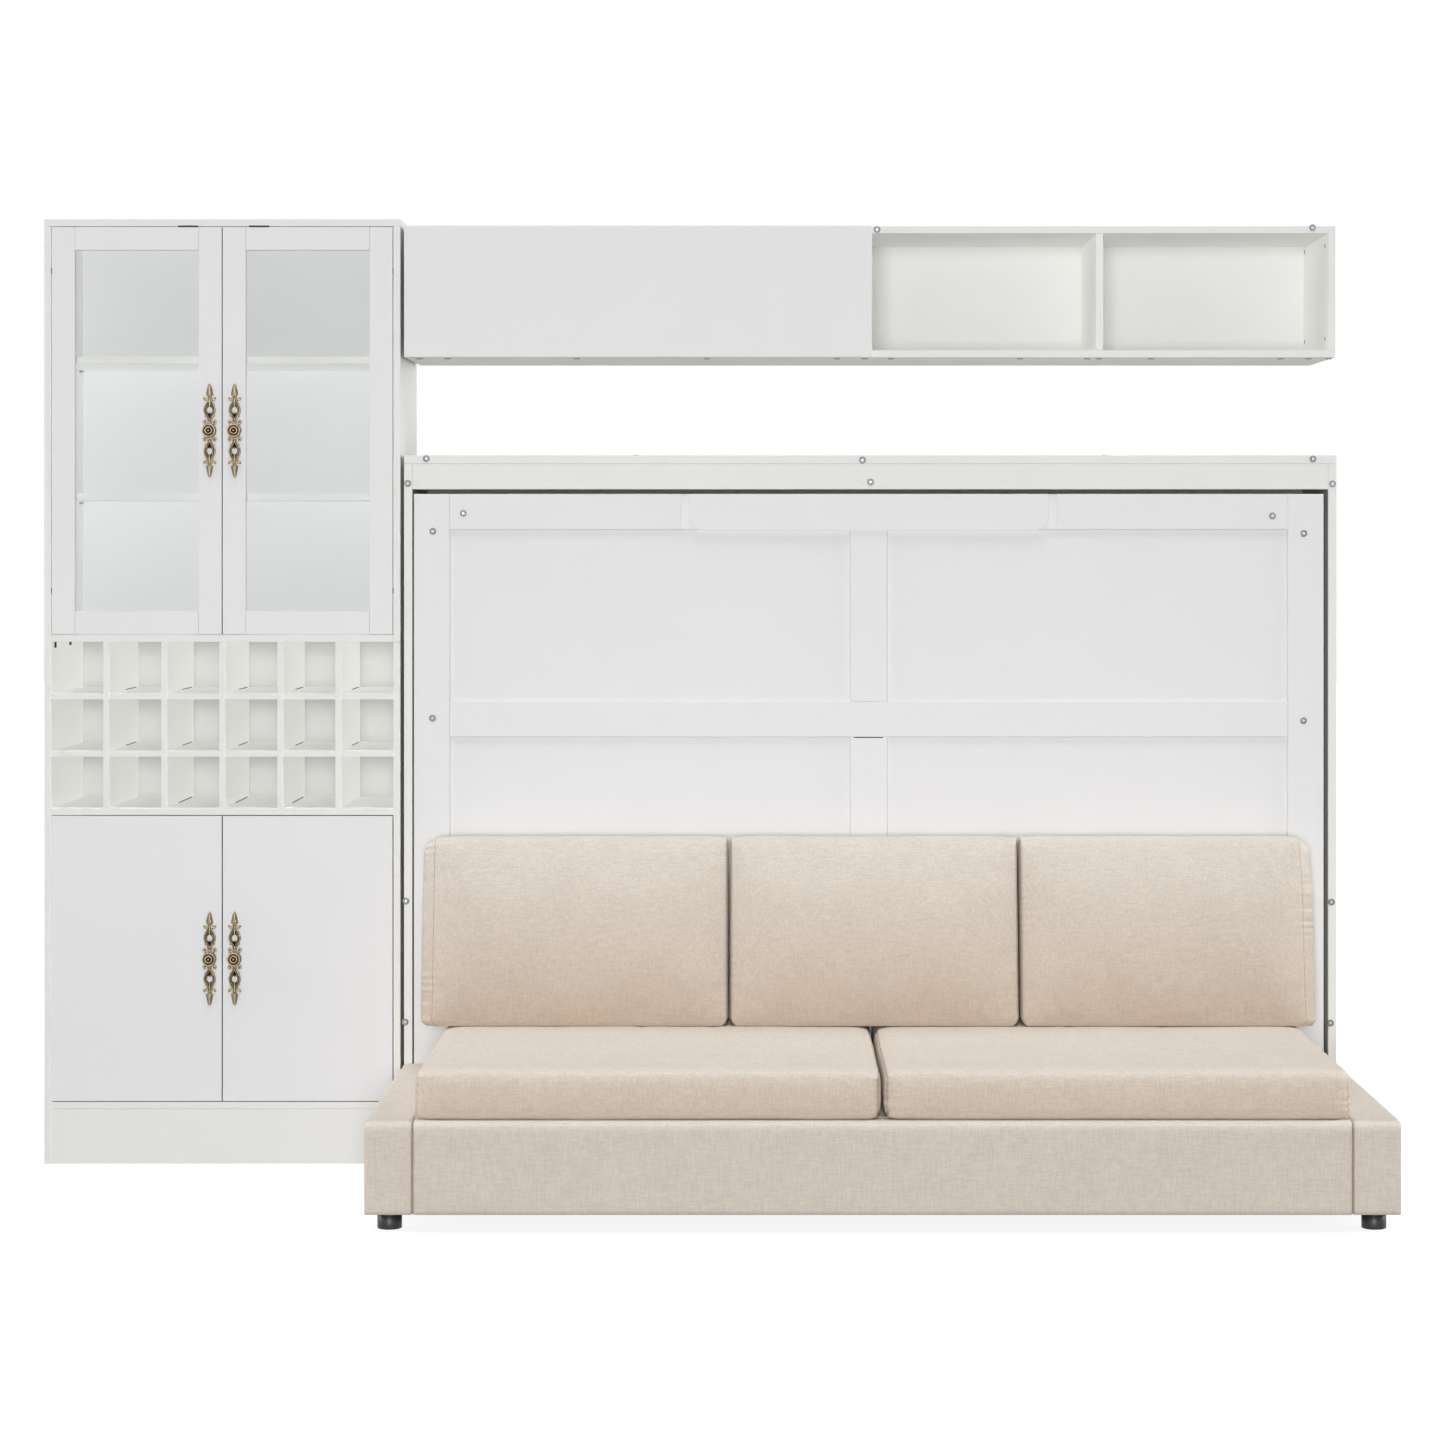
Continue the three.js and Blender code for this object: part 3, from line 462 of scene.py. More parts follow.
def add_tube(shape, points, radii, steps=10):
    """A round tube with closed round ends along points, its radius given at each point."""
    points = [Vector(point) for point in points]
    side = None
    rings = []
    for index, point in enumerate(points):
        before = points[max(index - 1, 0)]
        after = points[min(index + 1, len(points) - 1)]
        along = (after - before).normalized()
        if side is None:
            guess = Vector((0, 1, 0)) if abs(along.y) < 0.9 else Vector((1, 0, 0))
            side = along.cross(guess).normalized()
        side = (side - along * side.dot(along)).normalized()
        other = along.cross(side)
        ring = []
        for step in range(steps):
            angle = 2 * math.pi * step / steps
            ring.append(shape.verts.new(point + radii[index] * (side * math.cos(angle) + other * math.sin(angle))))
        rings.append(ring)
    for low, high in zip(rings, rings[1:]):
        for step in range(steps):
            after = (step + 1) % steps
            shape.faces.new((low[step], low[after], high[after], high[step]))
    for ring, end, inner in ((rings[0], points[0], points[1]), (rings[-1], points[-1], points[-2])):
        tip = shape.verts.new(end + (end - inner).normalized() * radii[0 if ring is rings[0] else -1] * 0.6)
        for step in range(steps):
            after = (step + 1) % steps
            pair = (ring[after], ring[step]) if ring is rings[0] else (ring[step], ring[after])
            shape.faces.new((*pair, tip))


def curve_points(knots, steps=6):
    """Points on a smooth Catmull-Rom curve through knots, which are tuples of any length."""
    padded = [knots[0], *knots, knots[-1]]
    points = []
    for a, b, c, d in zip(padded, padded[1:], padded[2:], padded[3:]):
        for step in range(steps):
            t = step / steps
            points.append(tuple(
                0.5 * (2 * q + (r - p) * t + (2 * p - 5 * q + 4 * r - s) * t * t + (3 * q - p - 3 * r + s) * t ** 3)
                for p, q, r, s in zip(a, b, c, d)))
    return [*points, tuple(knots[-1])]


def turned_to(direction):
    """A rotation that takes +Z to a direction."""
    return Vector(direction).to_track_quat("Z", "Y").to_matrix().to_4x4()


# Carcasses: CAD boards with eased edges
CARCASS_NODES = [
    "tall_lower_side_left", "tall_lower_side_right", "tall_upper_side_left", "tall_upper_side_right",
    "tall_top_board", "tall_middle_board", "rack_floor_board", "tall_base_board", "kick_board",
    "display_shelf_lower", "display_shelf_upper", "wine_rack_grid",
    "bed_side_left", "bed_side_right", "bed_top_board", "bed_header", "bed_cabinet_back",
    "wall_shelf_bottom", "wall_shelf_top", "wall_shelf_end_left", "wall_shelf_partition",
    "wall_shelf_divider", "wall_shelf_end_right", "bed_frame",
]
PANEL_NODES = ["bed_face_board", "pull_board", "flap_door"]
BACK_NODES = {"rack": "tall_lower_back", "glass": "tall_upper_back", "shelf": "wall_shelf_back"}


def dress_node(name, finish, bevel=BOARD_BEVEL):
    """Gives a CAD node its finish and eased edges."""
    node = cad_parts[name]
    node.data.materials.clear()
    node.data.materials.append(MATERIALS[finish])
    weld = node.modifiers.new("weld", "WELD")
    weld.merge_threshold = 0.01 * MM
    if bevel:
        eased = node.modifiers.new("eased", "BEVEL")
        eased.width = bevel
        eased.segments = 2
        eased.limit_method = "ANGLE"
        eased.angle_limit = math.radians(40)
    flatten_shading(node)


def dress_nodes():
    for name in CARCASS_NODES:
        dress_node(name, "carcass")
    for part in ("rack", "shelf", "glass"):
        dress_node(BACK_NODES[part], f"{part}_back")
    for name in PANEL_NODES:
        dress_node(name, "panel", BOARD_BEVEL if name != "pull_board" else 1.2 * MM)
    dress_node("slat_deck", "wood", 1.5 * MM)
    for side in ("left", "right"):
        dress_node(f"glass_pane_{side}", "glass", 0.4 * MM)
        dress_node(f"strut_cylinder_{side}", "painted", 0.5 * MM)
        dress_node(f"strut_rod_{side}", "steel", 0.2 * MM)
    dress_node("sofa_deck", "base")
    dress_node("sofa_rear_rail", "base")


def face_frame():
    """Stiles and rails of the bed's face, as separate boards with fine seams, and dark strips along the fields' edges
    as painted shadow lines.
    """
    low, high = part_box("bed_face_frame")
    middle = (low.x + high.x) / 2
    half = FACE_CENTRE_STILE / 2
    field = (high.z - low.z - (FACE_ROWS + 1) * FACE_RAIL) / FACE_ROWS
    left = low.x + FACE_SIDE_STILE
    right = high.x - FACE_SIDE_STILE
    stiles = [((low.x, low.z), (left - RAIL_SEAM, high.z)), ((right + RAIL_SEAM, low.z), (high.x, high.z))]
    rails = []
    for row in range(FACE_ROWS + 1):
        bottom = low.z + row * (field + FACE_RAIL)
        if row < FACE_ROWS:
            rails.append(((left, bottom), (right, bottom + FACE_RAIL)))
            centre_low = bottom + FACE_RAIL + RAIL_SEAM
            stiles.append(((middle - half, centre_low), (middle + half, centre_low + field - 2 * RAIL_SEAM)))
    for kind, spans in (("stile", stiles), ("rail", rails)):
        for index, ((x0, z0), (x1, z1)) in enumerate(spans):
            boards(f"face_{kind}_{index + 1}", [((x0, low.y, z0), (x1, high.y, z1))], "panel", "bed")
    # Painted shadow: dark strips just in front of the face board along the inner edges of the stiles and under the
    # rails.
    painted_shadow_lines = []
    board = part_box("bed_face_board")[0].y
    for row in range(FACE_ROWS):
        foot = low.z + row * (field + FACE_RAIL) + FACE_RAIL
        for x0, x1 in ((left, middle - half), (middle + half, right)):
            spans = [
                (x0, x0 + FACE_SHADOW_LINE, foot, foot + field), (x1 - FACE_SHADOW_LINE, x1, foot, foot + field),
                (x0 + FACE_SHADOW_LINE, x1 - FACE_SHADOW_LINE, foot + field - FACE_SHADOW_LINE, foot + field),
            ]
            for a, b, c, d in spans:
                painted_shadow_lines.append(((a + RAIL_SEAM, board - 0.4 * MM, c), (b - RAIL_SEAM, board - 0.1 * MM, d - RAIL_SEAM)))
    boards("face_painted_shadow_lines", painted_shadow_lines, "groove", "bed", bevel=0)
    pull_low, pull_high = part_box("pull_board")
    bottom = high.z - FACE_RAIL
    for name, x0, x1 in (("left", left, pull_low.x - PULL_MARGIN), ("right", pull_high.x + PULL_MARGIN, right)):
        outline = cutout_end(x0, x1, bottom, high.z, name == "left")
        extruded(f"face_top_rail_{name}", outline, low.y, high.y, "panel", "bed")
    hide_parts("bed_face_frame")


def cutout_end(x0, x1, bottom, top, on_left):
    """Outline of a top rail's end: a concave quarter round runs out along the rail's lower edge."""
    corner = x1 if on_left else x0
    way = 1 if on_left else -1
    centre = Vector((corner + way * PULL_CUTOUT_RADIUS, bottom + PULL_CUTOUT_RADIUS))
    arc = []
    steps = 10
    for step in range(steps + 1):
        angle = math.pi / 2 * step / steps
        arc.append(centre - PULL_CUTOUT_RADIUS * Vector((way * math.cos(angle), math.sin(angle))))
    far = x0 if on_left else x1
    outline = [Vector((far, top)), Vector((corner, top)), *arc, Vector((far, bottom))]
    return outline if not on_left else outline[::-1]


def extruded(name, outline, y0, y1, finish, body, bevel=0.4 * MM):
    """A plate with an XZ outline between two depths."""
    shape = bmesh.new()
    front = [shape.verts.new((point.x, y0, point.y)) for point in outline]
    face = shape.faces.new(front)
    back = bmesh.ops.extrude_face_region(shape, geom=[face])["geom"]
    bmesh.ops.translate(shape, verts=[v for v in back if isinstance(v, bmesh.types.BMVert)], vec=(0, y1 - y0, 0))
    bmesh.ops.recalc_face_normals(shape, faces=shape.faces)
    made = piece(name, mesh_from(shape, name), finish, body)
    eased = made.modifiers.new("eased", "BEVEL")
    eased.width = bevel
    eased.segments = 2
    eased.limit_method = "ANGLE"
    eased.angle_limit = math.radians(40)
    flatten_shading(made)
    return made


# Doors of the tall cabinet
def lower_doors():
    for side in ("left", "right"):
        low, high = door_panel(f"lower_door_{side}", side)
        boards(f"lower_door_panel_{side}", [(low, high)], "panel", f"lower_{side}_door", [f"lower_door_{side}"])
        hinges(f"lower_{side}", low, high, side, f"lower_{side}_door")


def door_panel(node, side):
    """A door panel's corners, without the hinge arms behind it."""
    low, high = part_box(node)
    high = Vector((high.x, high.y - ARM_LENGTH, high.z))
    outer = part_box(f"tall_lower_side_{side}")
    gap = 2 * MM
    if side == "left":
        low.x = outer[1].x + gap
    else:
        high.x = outer[0].x - gap
    return low, high


def glass_doors():
    for side in ("left", "right"):
        node = f"glass_door_frame_{side}"
        low, high = door_panel(node, side)
        split = high.y - 4.6 * MM
        x = (low.x, low.x + GLASS_MEMBER, high.x - GLASS_MEMBER, high.x)
        z = (low.z, low.z + GLASS_MEMBER, high.z - GLASS_MEMBER, high.z)
        body = f"glass_{side}_door"
        stiles = {
            "outer" if side == "left" else "inner": (x[0], x[1], x[1] - GLASS_REBATE),
            "inner" if side == "left" else "outer": (x[3], x[2], x[2] + GLASS_REBATE),
        }
        for name, (edge, front, back) in stiles.items():
            boxes = [
                ((min(edge, front), low.y, z[0]), (max(edge, front), split, z[3])),
                ((min(edge, back), split, z[0]), (max(edge, back), high.y, z[3])),
            ]
            boards(f"glass_door_{side}_{name}_stile", boxes, "panel", body, [node] if name == "outer" else ())
        for name, edge, front, back in (
            ("bottom", z[0], z[1], z[1] - GLASS_REBATE), ("top", z[3], z[2], z[2] + GLASS_REBATE),
        ):
            rail_x = (x[1] + RAIL_SEAM, x[2] - RAIL_SEAM)
            back_x = (x[1] - GLASS_REBATE + RAIL_SEAM, x[2] + GLASS_REBATE - RAIL_SEAM)
            boxes = [
                ((rail_x[0], low.y, min(edge, front)), (rail_x[1], split, max(edge, front))),
                ((back_x[0], split, min(edge, back)), (back_x[1], high.y, max(edge, back))),
            ]
            boards(f"glass_door_{side}_{name}_rail", boxes, "panel", body)
        hinges(f"glass_{side}", low, high, side, body)


def hinges(name, low, high, side, body):
    """Two concealed cup hinges behind a door, with their plates on the side board."""
    way = 1 if side == "left" else -1
    board = (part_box("tall_lower_side_left")[1].x if side == "left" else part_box("tall_lower_side_right")[0].x)
    arms = bmesh.new()
    plates = bmesh.new()
    for z in (low.z + HINGE_FROM_END, high.z - HINGE_FROM_END):
        cup = Matrix.Translation((board + way * (CUP_RADIUS + 7 * MM), high.y, z)) @ turned_to((0, 1, 0))
        add_lathe(arms, [
            (0, 0.2 * MM), (CUP_RADIUS - 3 * MM, 0.2 * MM), (CUP_RADIUS - 2.4 * MM, 1.2 * MM),
            (CUP_RADIUS, 1.2 * MM), (CUP_RADIUS, -JOINT_GAP), (0, -JOINT_GAP),
        ], cup)
        near = board + way * 2.2 * MM
        far = board + way * ARM_WIDTH
        arm_low = Vector((min(near, far), high.y, z - ARM_HEIGHT * 0.36))
        arm_high = Vector((max(near, far), high.y + ARM_LENGTH - 6 * MM, z + ARM_HEIGHT * 0.36))
        add_box(arms, arm_low, arm_high, 2 * MM, 3)
        ear = board + way * (CUP_RADIUS * 1.5)
        ear_box = (min(near, ear), max(near, ear))
        add_box(arms, (ear_box[0], high.y, z - ARM_HEIGHT * 0.25), (ear_box[1], high.y + 5 * MM, z + ARM_HEIGHT * 0.25))
        for reach in (16 * MM, 29 * MM):
            head = Matrix.Translation((far, high.y + reach, z)) @ turned_to((way, 0, 0))
            add_lathe(arms, screw_profile(3.2 * MM, 1 * MM, 1.2 * MM), head, 16)
        plate = (board + way * JOINT_GAP, board + way * 2 * MM)
        plate_y = (high.y + 8 * MM, high.y + ARM_LENGTH + 6 * MM)
        plate_z = (z - ARM_HEIGHT * 0.9, z + ARM_HEIGHT * 0.9)
        add_box(plates, (min(plate), plate_y[0], plate_z[0]), (max(plate), plate_y[1], plate_z[1]), 0.6 * MM)
        for offset in (-1, 1):
            spot = (plate[1], sum(plate_y) / 2, z + offset * ARM_HEIGHT * 0.62)
            add_lathe(plates, screw_profile(3 * MM, 0.8 * MM, 1.2 * MM),
                      Matrix.Translation(spot) @ turned_to((way, 0, 0)), 16)
    piece(f"hinge_arms_{name}", mesh_from(arms, "hinge_arms"), "zinc", body)
    piece(f"hinge_plates_{name}", mesh_from(plates, "hinge_plates"), "zinc", "cabinets")


def catches():
    """Flat magnetic catches in the gap above the glass doors, and shelf pins below the display shelves."""
    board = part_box("tall_top_board")[0]
    shape = bmesh.new()
    for start, end in ((178, 198), (249, 269)):
        x0 = photo_point(start, AHEAD_PIXEL[1], board.y).x
        x1 = photo_point(end, AHEAD_PIXEL[1], board.y).x
        add_box(shape, (x0, board.y + JOINT_GAP, board.z - 1.7 * MM), (x1, board.y + 15 * MM, board.z - JOINT_GAP), 0.2 * MM)
        add_box(shape, (x0, board.y - 0.8 * MM, board.z - 1.7 * MM), (x1, board.y - 0.1 * MM, board.z + 1.5 * MM), 0.2 * MM)
    piece("magnetic_catches", mesh_from(shape, "catches"), "shadow", "cabinets", smooth=False)
    pins = bmesh.new()
    for shelf in ("display_shelf_lower", "display_shelf_upper"):
        low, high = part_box(shelf)
        for x, way in ((low.x, 1), (high.x, -1)):
            for y in (low.y + 45 * MM, high.y - 45 * MM):
                spot = Matrix.Translation((x, y, low.z - 2.8 * MM)) @ turned_to((way, 0, 0))
                add_lathe(pins, [(0, 0), (2.5 * MM, 0), (2.5 * MM, 8 * MM), (2 * MM, 9 * MM), (0, 9 * MM)], spot, 16)
                add_lathe(pins, [(0, 0), (4.2 * MM, 0), (4.2 * MM, 1.2 * MM), (0, 1.2 * MM)], spot, 16)
    piece("shelf_pins", mesh_from(pins, "shelf_pins"), "zinc", "cabinets")


# Wine rack
RACK_COLUMNS = 6
RACK_ROWS = 3
RACK_BOARD = 13 * MM
OPEN_JOINTS = [(1, 2), (1, 3), (1, 4), (1, 5), (1, 6), (2, 2), (2, 3), (2, 4), (2, 5), (2, 6), (3, 3), (3, 4), (3, 5)]


def rack_details():
    """Painted shadow in open half-lap joints along the rear of some cell floors, and two dark bolt ends in the first
    cell.
    """
    low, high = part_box("wine_rack_grid")
    pitch = ((high.x - low.x + RACK_BOARD) / RACK_COLUMNS, (high.z - low.z + RACK_BOARD) / RACK_ROWS)
    shape = bmesh.new()
    for row, column in OPEN_JOINTS:
        x = low.x + (column - 1) * pitch[0]
        z = high.z - row * pitch[1] + RACK_BOARD
        deep = high.y - low.y
        start = low.y + deep * (0.42 if row == 3 else 0.55)
        # Dark slivers in the joints: painted shadow.
        add_box(shape, (x + 0.1 * MM, start, z + 0.1 * MM), (x + 1.2 * MM, high.y - 40 * MM, z + 1.5 * MM), 0.2 * MM)
    piece("rack_joint_shadows", mesh_from(shape, "rack_joint_shadows"), "shadow", "cabinets", smooth=False)
    bolts = bmesh.new()
    for pixel, length in ((54, 13 * MM), (70.5, 7 * MM)):
        y = low.y + 30 * MM
        x = max(photo_point(pixel, 645, y).x, low.x + 4 * MM)
        profile = [(0, 0), (3.4 * MM, 0), (3.4 * MM, 1 * MM), (2.4 * MM, 1.2 * MM), (2.4 * MM, length), (0, length)]
        add_lathe(bolts, profile, Matrix.Translation((x, y, high.z)) @ turned_to((0, 0, -1)), 16)
    piece("rack_bolts", mesh_from(bolts, "rack_bolts"), "shadow", "cabinets")


# Screws
def screw_profile(radius, height, socket):
    """A low dome head with a round socket, from the base's edge to the socket's floor."""
    return [
        (0, 0), (radius, 0), (radius, height * 0.3), (radius * 0.92, height * 0.62),
        (radius * 0.72, height * 0.92), (socket * 1.25, height), (socket, height * 0.9),
        (socket, height * 0.2), (0, height * 0.15),
    ]


def screw_group(name, spots, direction, body):
    """Screw heads: a dark bevelled rim round a pale crown with a socket."""
    rims = bmesh.new()
    crowns = bmesh.new()
    rim = [
        (SCREW_CROWN, 0), (SCREW_RADIUS, 0), (SCREW_RADIUS, SCREW_HEIGHT * 0.3),
        (SCREW_RADIUS * 0.93, SCREW_HEIGHT * 0.6), (SCREW_RADIUS * 0.75, SCREW_HEIGHT * 0.85),
        (SCREW_CROWN, SCREW_HEIGHT * 0.7), (SCREW_CROWN, 0),
    ]
    for spot in spots:
        matrix = Matrix.Translation(spot) @ turned_to(direction)
        add_lathe(rims, rim, matrix, 24)
        add_lathe(crowns, screw_profile(SCREW_CROWN - 0.2 * MM, SCREW_HEIGHT, SCREW_SOCKET), matrix, 20)
    piece(f"{name}_rims", mesh_from(rims, name), "nickel", body)
    piece(name, mesh_from(crowns, name), "zinc", body)


def screws():
    front = (0, -1, 0)
    face_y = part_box("bed_face_frame")[0].y
    cabinet_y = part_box("bed_top_board")[0].y
    shelf_low, shelf_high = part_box("wall_shelf_bottom")
    screw_group("face_screws", [photo_point(*spot, face_y) for spot in FACE_SCREWS], front, "bed")
    cabinet = [photo_point(*spot, cabinet_y) for spot in TOP_EDGE_SCREWS + HEADER_SCREWS + SIDE_SCREWS]
    screw_group("cabinet_screws", cabinet, front, "cabinets")
    shelf_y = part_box("wall_shelf_top")[0].y
    edge = [photo_point(*spot, shelf_y) for spot in SHELF_EDGE_SCREWS]
    screw_group("shelf_edge_screws", edge, front, "cabinets")
    under_y = shelf_low.y + 60 * MM
    under = [photo_point(pixel, 360, under_y) for pixel in SHELF_UNDER_SCREWS]
    under = [Vector((spot.x, under_y, shelf_low.z)) for spot in under]
    screw_group("shelf_under_screws", under, (0, 0, -1), "cabinets")
    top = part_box("bed_top_board")[1].z
    cap_y = cabinet_y + 40 * MM
    caps = [Vector((photo_point(pixel, 456, cap_y).x, cap_y, top)) for pixel in (636, 1104)]
    screw_group("top_board_screws", caps, UP, "cabinets")


# Painted shadow in small gaps and joints, and caps
FACE_SLIT = (854, 883, 737.5)
CAM_CAPS = [(51, 2007), (51, 1803), (365, 2018), (365, 1813)]
CAP_RADIUS = 5 * MM


def small_marks():
    """Painted shadow in the doors' gaps and in a slit in the bed's face, and caps inside the wall shelf."""
    edges = bmesh.new()
    inset = JOINT_GAP
    thick = 1.2 * MM
    # Dark strips in the gaps beside the glass doors and along the right lower door's top and side: painted shadow.
    for side, way in (("left", 1), ("right", -1)):
        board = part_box(f"tall_lower_side_{side}")[1 if side == "left" else 0].x
        across = sorted((board + way * inset, board + way * (inset + thick)))
        low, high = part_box(f"glass_door_frame_{side}")
        for z in (low.z + HINGE_FROM_END, high.z - HINGE_FROM_END):
            add_box(edges, (across[0], low.y + MM, z - 6 * MM), (across[1], low.y + 8 * MM, z + 6 * MM), 0.1 * MM)
    low, high = door_panel("lower_door_right", "right")
    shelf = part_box("rack_floor_board")[0].z
    rear = low.y + 9 * MM
    add_box(edges, (low.x, low.y + MM, shelf - inset - thick), (high.x, rear, shelf - inset), 0.1 * MM)
    add_box(edges, (across[0], low.y + MM, low.z), (across[1], rear, high.z), 0.1 * MM)
    piece("door_gap_shadows", mesh_from(edges, "door_gap_shadows"), "shadow", "cabinets", smooth=False)
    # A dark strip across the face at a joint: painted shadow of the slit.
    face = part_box("bed_face_frame")[0].y
    slit = bmesh.new()
    start, end = (photo_point(pixel, FACE_SLIT[2], face) for pixel in FACE_SLIT[:2])
    add_box(slit, (start.x, face - 0.15 * MM, start.z - MM), (end.x, face + MM, start.z + MM), 0.1 * MM)
    piece("face_slit_shadow", mesh_from(slit, "face_slit_shadow"), "shadow", "bed", smooth=False)
    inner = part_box("wall_shelf_end_right")[0]
    caps = bmesh.new()
    for depth, z in CAM_CAPS:
        place = Matrix.Translation((inner.x, inner.y + depth * MM, z * MM)) @ turned_to((-1, 0, 0))
        cap = [(0, 0), (CAP_RADIUS, 0), (CAP_RADIUS, 0.4 * MM), (CAP_RADIUS * 0.9, 0.7 * MM), (0, 0.7 * MM)]
        add_lathe(caps, cap, place, 20)
    piece("shelf_cam_caps", mesh_from(caps, "shelf_cam_caps"), "nickel", "cabinets")


# Handles: places of half a handle in millimetres, as (across, up) from the knob's centre
CASTING_DEPTH = -2.4 * MM
OUTER_STRAND = [
    (2.2, 12), (3.4, 21), (5.2, 27), (7.8, 33), (10.9, 39), (12, 45), (10.6, 51), (7.8, 58), (4.8, 65), (2.8, 76),
]
INNER_STRAND = [
    (0.9, 14), (1.2, 22), (2.2, 28), (4.4, 33.5), (7, 39.5), (8.1, 45), (6.9, 50.5), (4.5, 57), (2.3, 64), (1.2, 74),
]
KNOB_SCROLL = [(2.5, 14), (7.5, 14.3), (11.6, 15.8), (13.6, 18.6), (12.4, 21.4), (10, 21.3), (9.2, 19.1)]
COLLAR_HOOK = [(2.8, 72.6), (5.4, 69), (8.4, 67.2), (11, 68), (12, 70.6)]
SPUR = [(6, 29.4), (7.8, 30.6), (9.3, 31.8)]
TONGUE = [(0, 72), (0, 66), (0, 60), (0, 55)]
EYE_UP = 44.5
EYE_HALF_WIDTH = 5.9
EYE_HALF_HEIGHT = 7.6
BEADS = [(54.2, 2.1, 1), (38.8, 1.9, 1), (75.7, 2.4, 1), (24, 1.7, 2.2), (17, 2.6, 1.2)]
FINIAL_CORE = [(0, 74), (3.6, 75), (6, 77.5), (5.6, 82), (4.6, 88), (3.6, 94), (2.5, 99), (1.5, 102), (0, 102.8)]
FINIAL_RIB = [(77.5, 1.7), (84, 1.8), (91, 1.6), (97, 1.3), (101.8, 0.9)]
FINIAL_SCALES = [(79.5, 8.2), (84.2, 7.5), (89, 6.5), (93.6, 5.4), (97.8, 4.2)]


def strand(shape, knots, way, up, radius, sink=0, ball=0):
    """A cast strand along knots; with a ball it tapers and ends in one."""
    points = curve_points([(way * x * MM, CASTING_DEPTH + sink * MM, up * z * MM) for x, z in knots], 5)
    taper = 0.25 if ball else 0
    radii = [radius * MM * (1 - taper * index / len(points)) for index in range(len(points))]
    add_tube(shape, points, radii, 12)
    if ball:
        place = Matrix.Translation(points[-1])
        bmesh.ops.create_uvsphere(shape, u_segments=12, v_segments=8, radius=ball * MM, matrix=place)


def lobe(shape, x, z, up, half_width, half_length, tilt, depth):
    """One leaf scale of the finial: a small tilted bead."""
    place = Matrix.Translation((x * MM, -depth * MM, up * z * MM))
    stretch = Matrix.Diagonal((half_width * MM, 1.3 * MM, half_length * MM, 1))
    turn = Matrix.Rotation(math.radians(tilt * up), 4, "Y")
    bmesh.ops.create_uvsphere(shape, u_segments=12, v_segments=8, radius=1, matrix=place @ turn @ stretch)


def ground_plate(shape, way, up):
    """The thin plate behind one side's strands, open at the eye."""
    rings = []
    for reach, z in curve_points(OUTER_STRAND, 5):
        room = 1 - ((z - EYE_UP) / EYE_HALF_HEIGHT) ** 2
        inner = EYE_HALF_WIDTH * math.sqrt(max(0, room))
        corners = ((inner, 0.3), (reach, 0.3), (reach, 1.4), (inner, 1.4))
        rings.append([shape.verts.new((way * x * MM, -depth * MM, up * z * MM)) for x, depth in corners])
    for low, high in zip(rings, rings[1:]):
        for step in range(4):
            after = (step + 1) % 4
            shape.faces.new((low[step], low[after], high[after], high[step]))
    shape.faces.new(rings[0])
    shape.faces.new(rings[-1])


def handle_half(shape, up):
    """Half of a handle: scrolls, two double strands round an eye, a tongue and a leaf finial."""
    for way in (-1, 1):
        ground_plate(shape, way, up)
        strand(shape, OUTER_STRAND, way, up, 1.6)
        strand(shape, INNER_STRAND, way, up, 1.5, 0.3)
        strand(shape, KNOB_SCROLL, way, up, 2.2, 0, 2.5)
        strand(shape, COLLAR_HOOK, way, up, 2.3, 0, 2.6)
        strand(shape, SPUR, way, up, 1.6, 0, 1.7)
    strand(shape, TONGUE, 1, up, 1.5, -0.6)
    for z, radius, long in BEADS:
        bead = Matrix.Translation((0, CASTING_DEPTH - 0.7 * MM, up * z * MM)) @ Matrix.Diagonal((1, 0.9, long, 1))
        bmesh.ops.create_uvsphere(shape, u_segments=14, v_segments=8, radius=radius * MM, matrix=bead)
    finial(shape, up)


def finial(shape, up):
    """A tapering bud of overlapping leaf scales beside a raised rib."""
    matrix = Matrix.Translation((0, -1.7 * MM, 0)) @ Matrix.Diagonal((1, 0.5, up, 1))
    add_lathe(shape, [(radius * MM, height * MM) for radius, height in FINIAL_CORE], matrix, 16)
    for z, reach in FINIAL_SCALES:
        for way in (-1, 1):
            lobe(shape, way * (reach - 2.6), z, up, 1.6, 3.2, -way * 50, 2.2)
            lobe(shape, way * (reach - 2.2) * 0.5, z + 1.8, up, 1.5, 2.6, -way * 24, 3.1)
    rib = [(0, -3.9 * MM, up * z * MM) for z, radius in FINIAL_RIB]
    add_tube(shape, rib, [radius * MM for z, radius in FINIAL_RIB], 10)


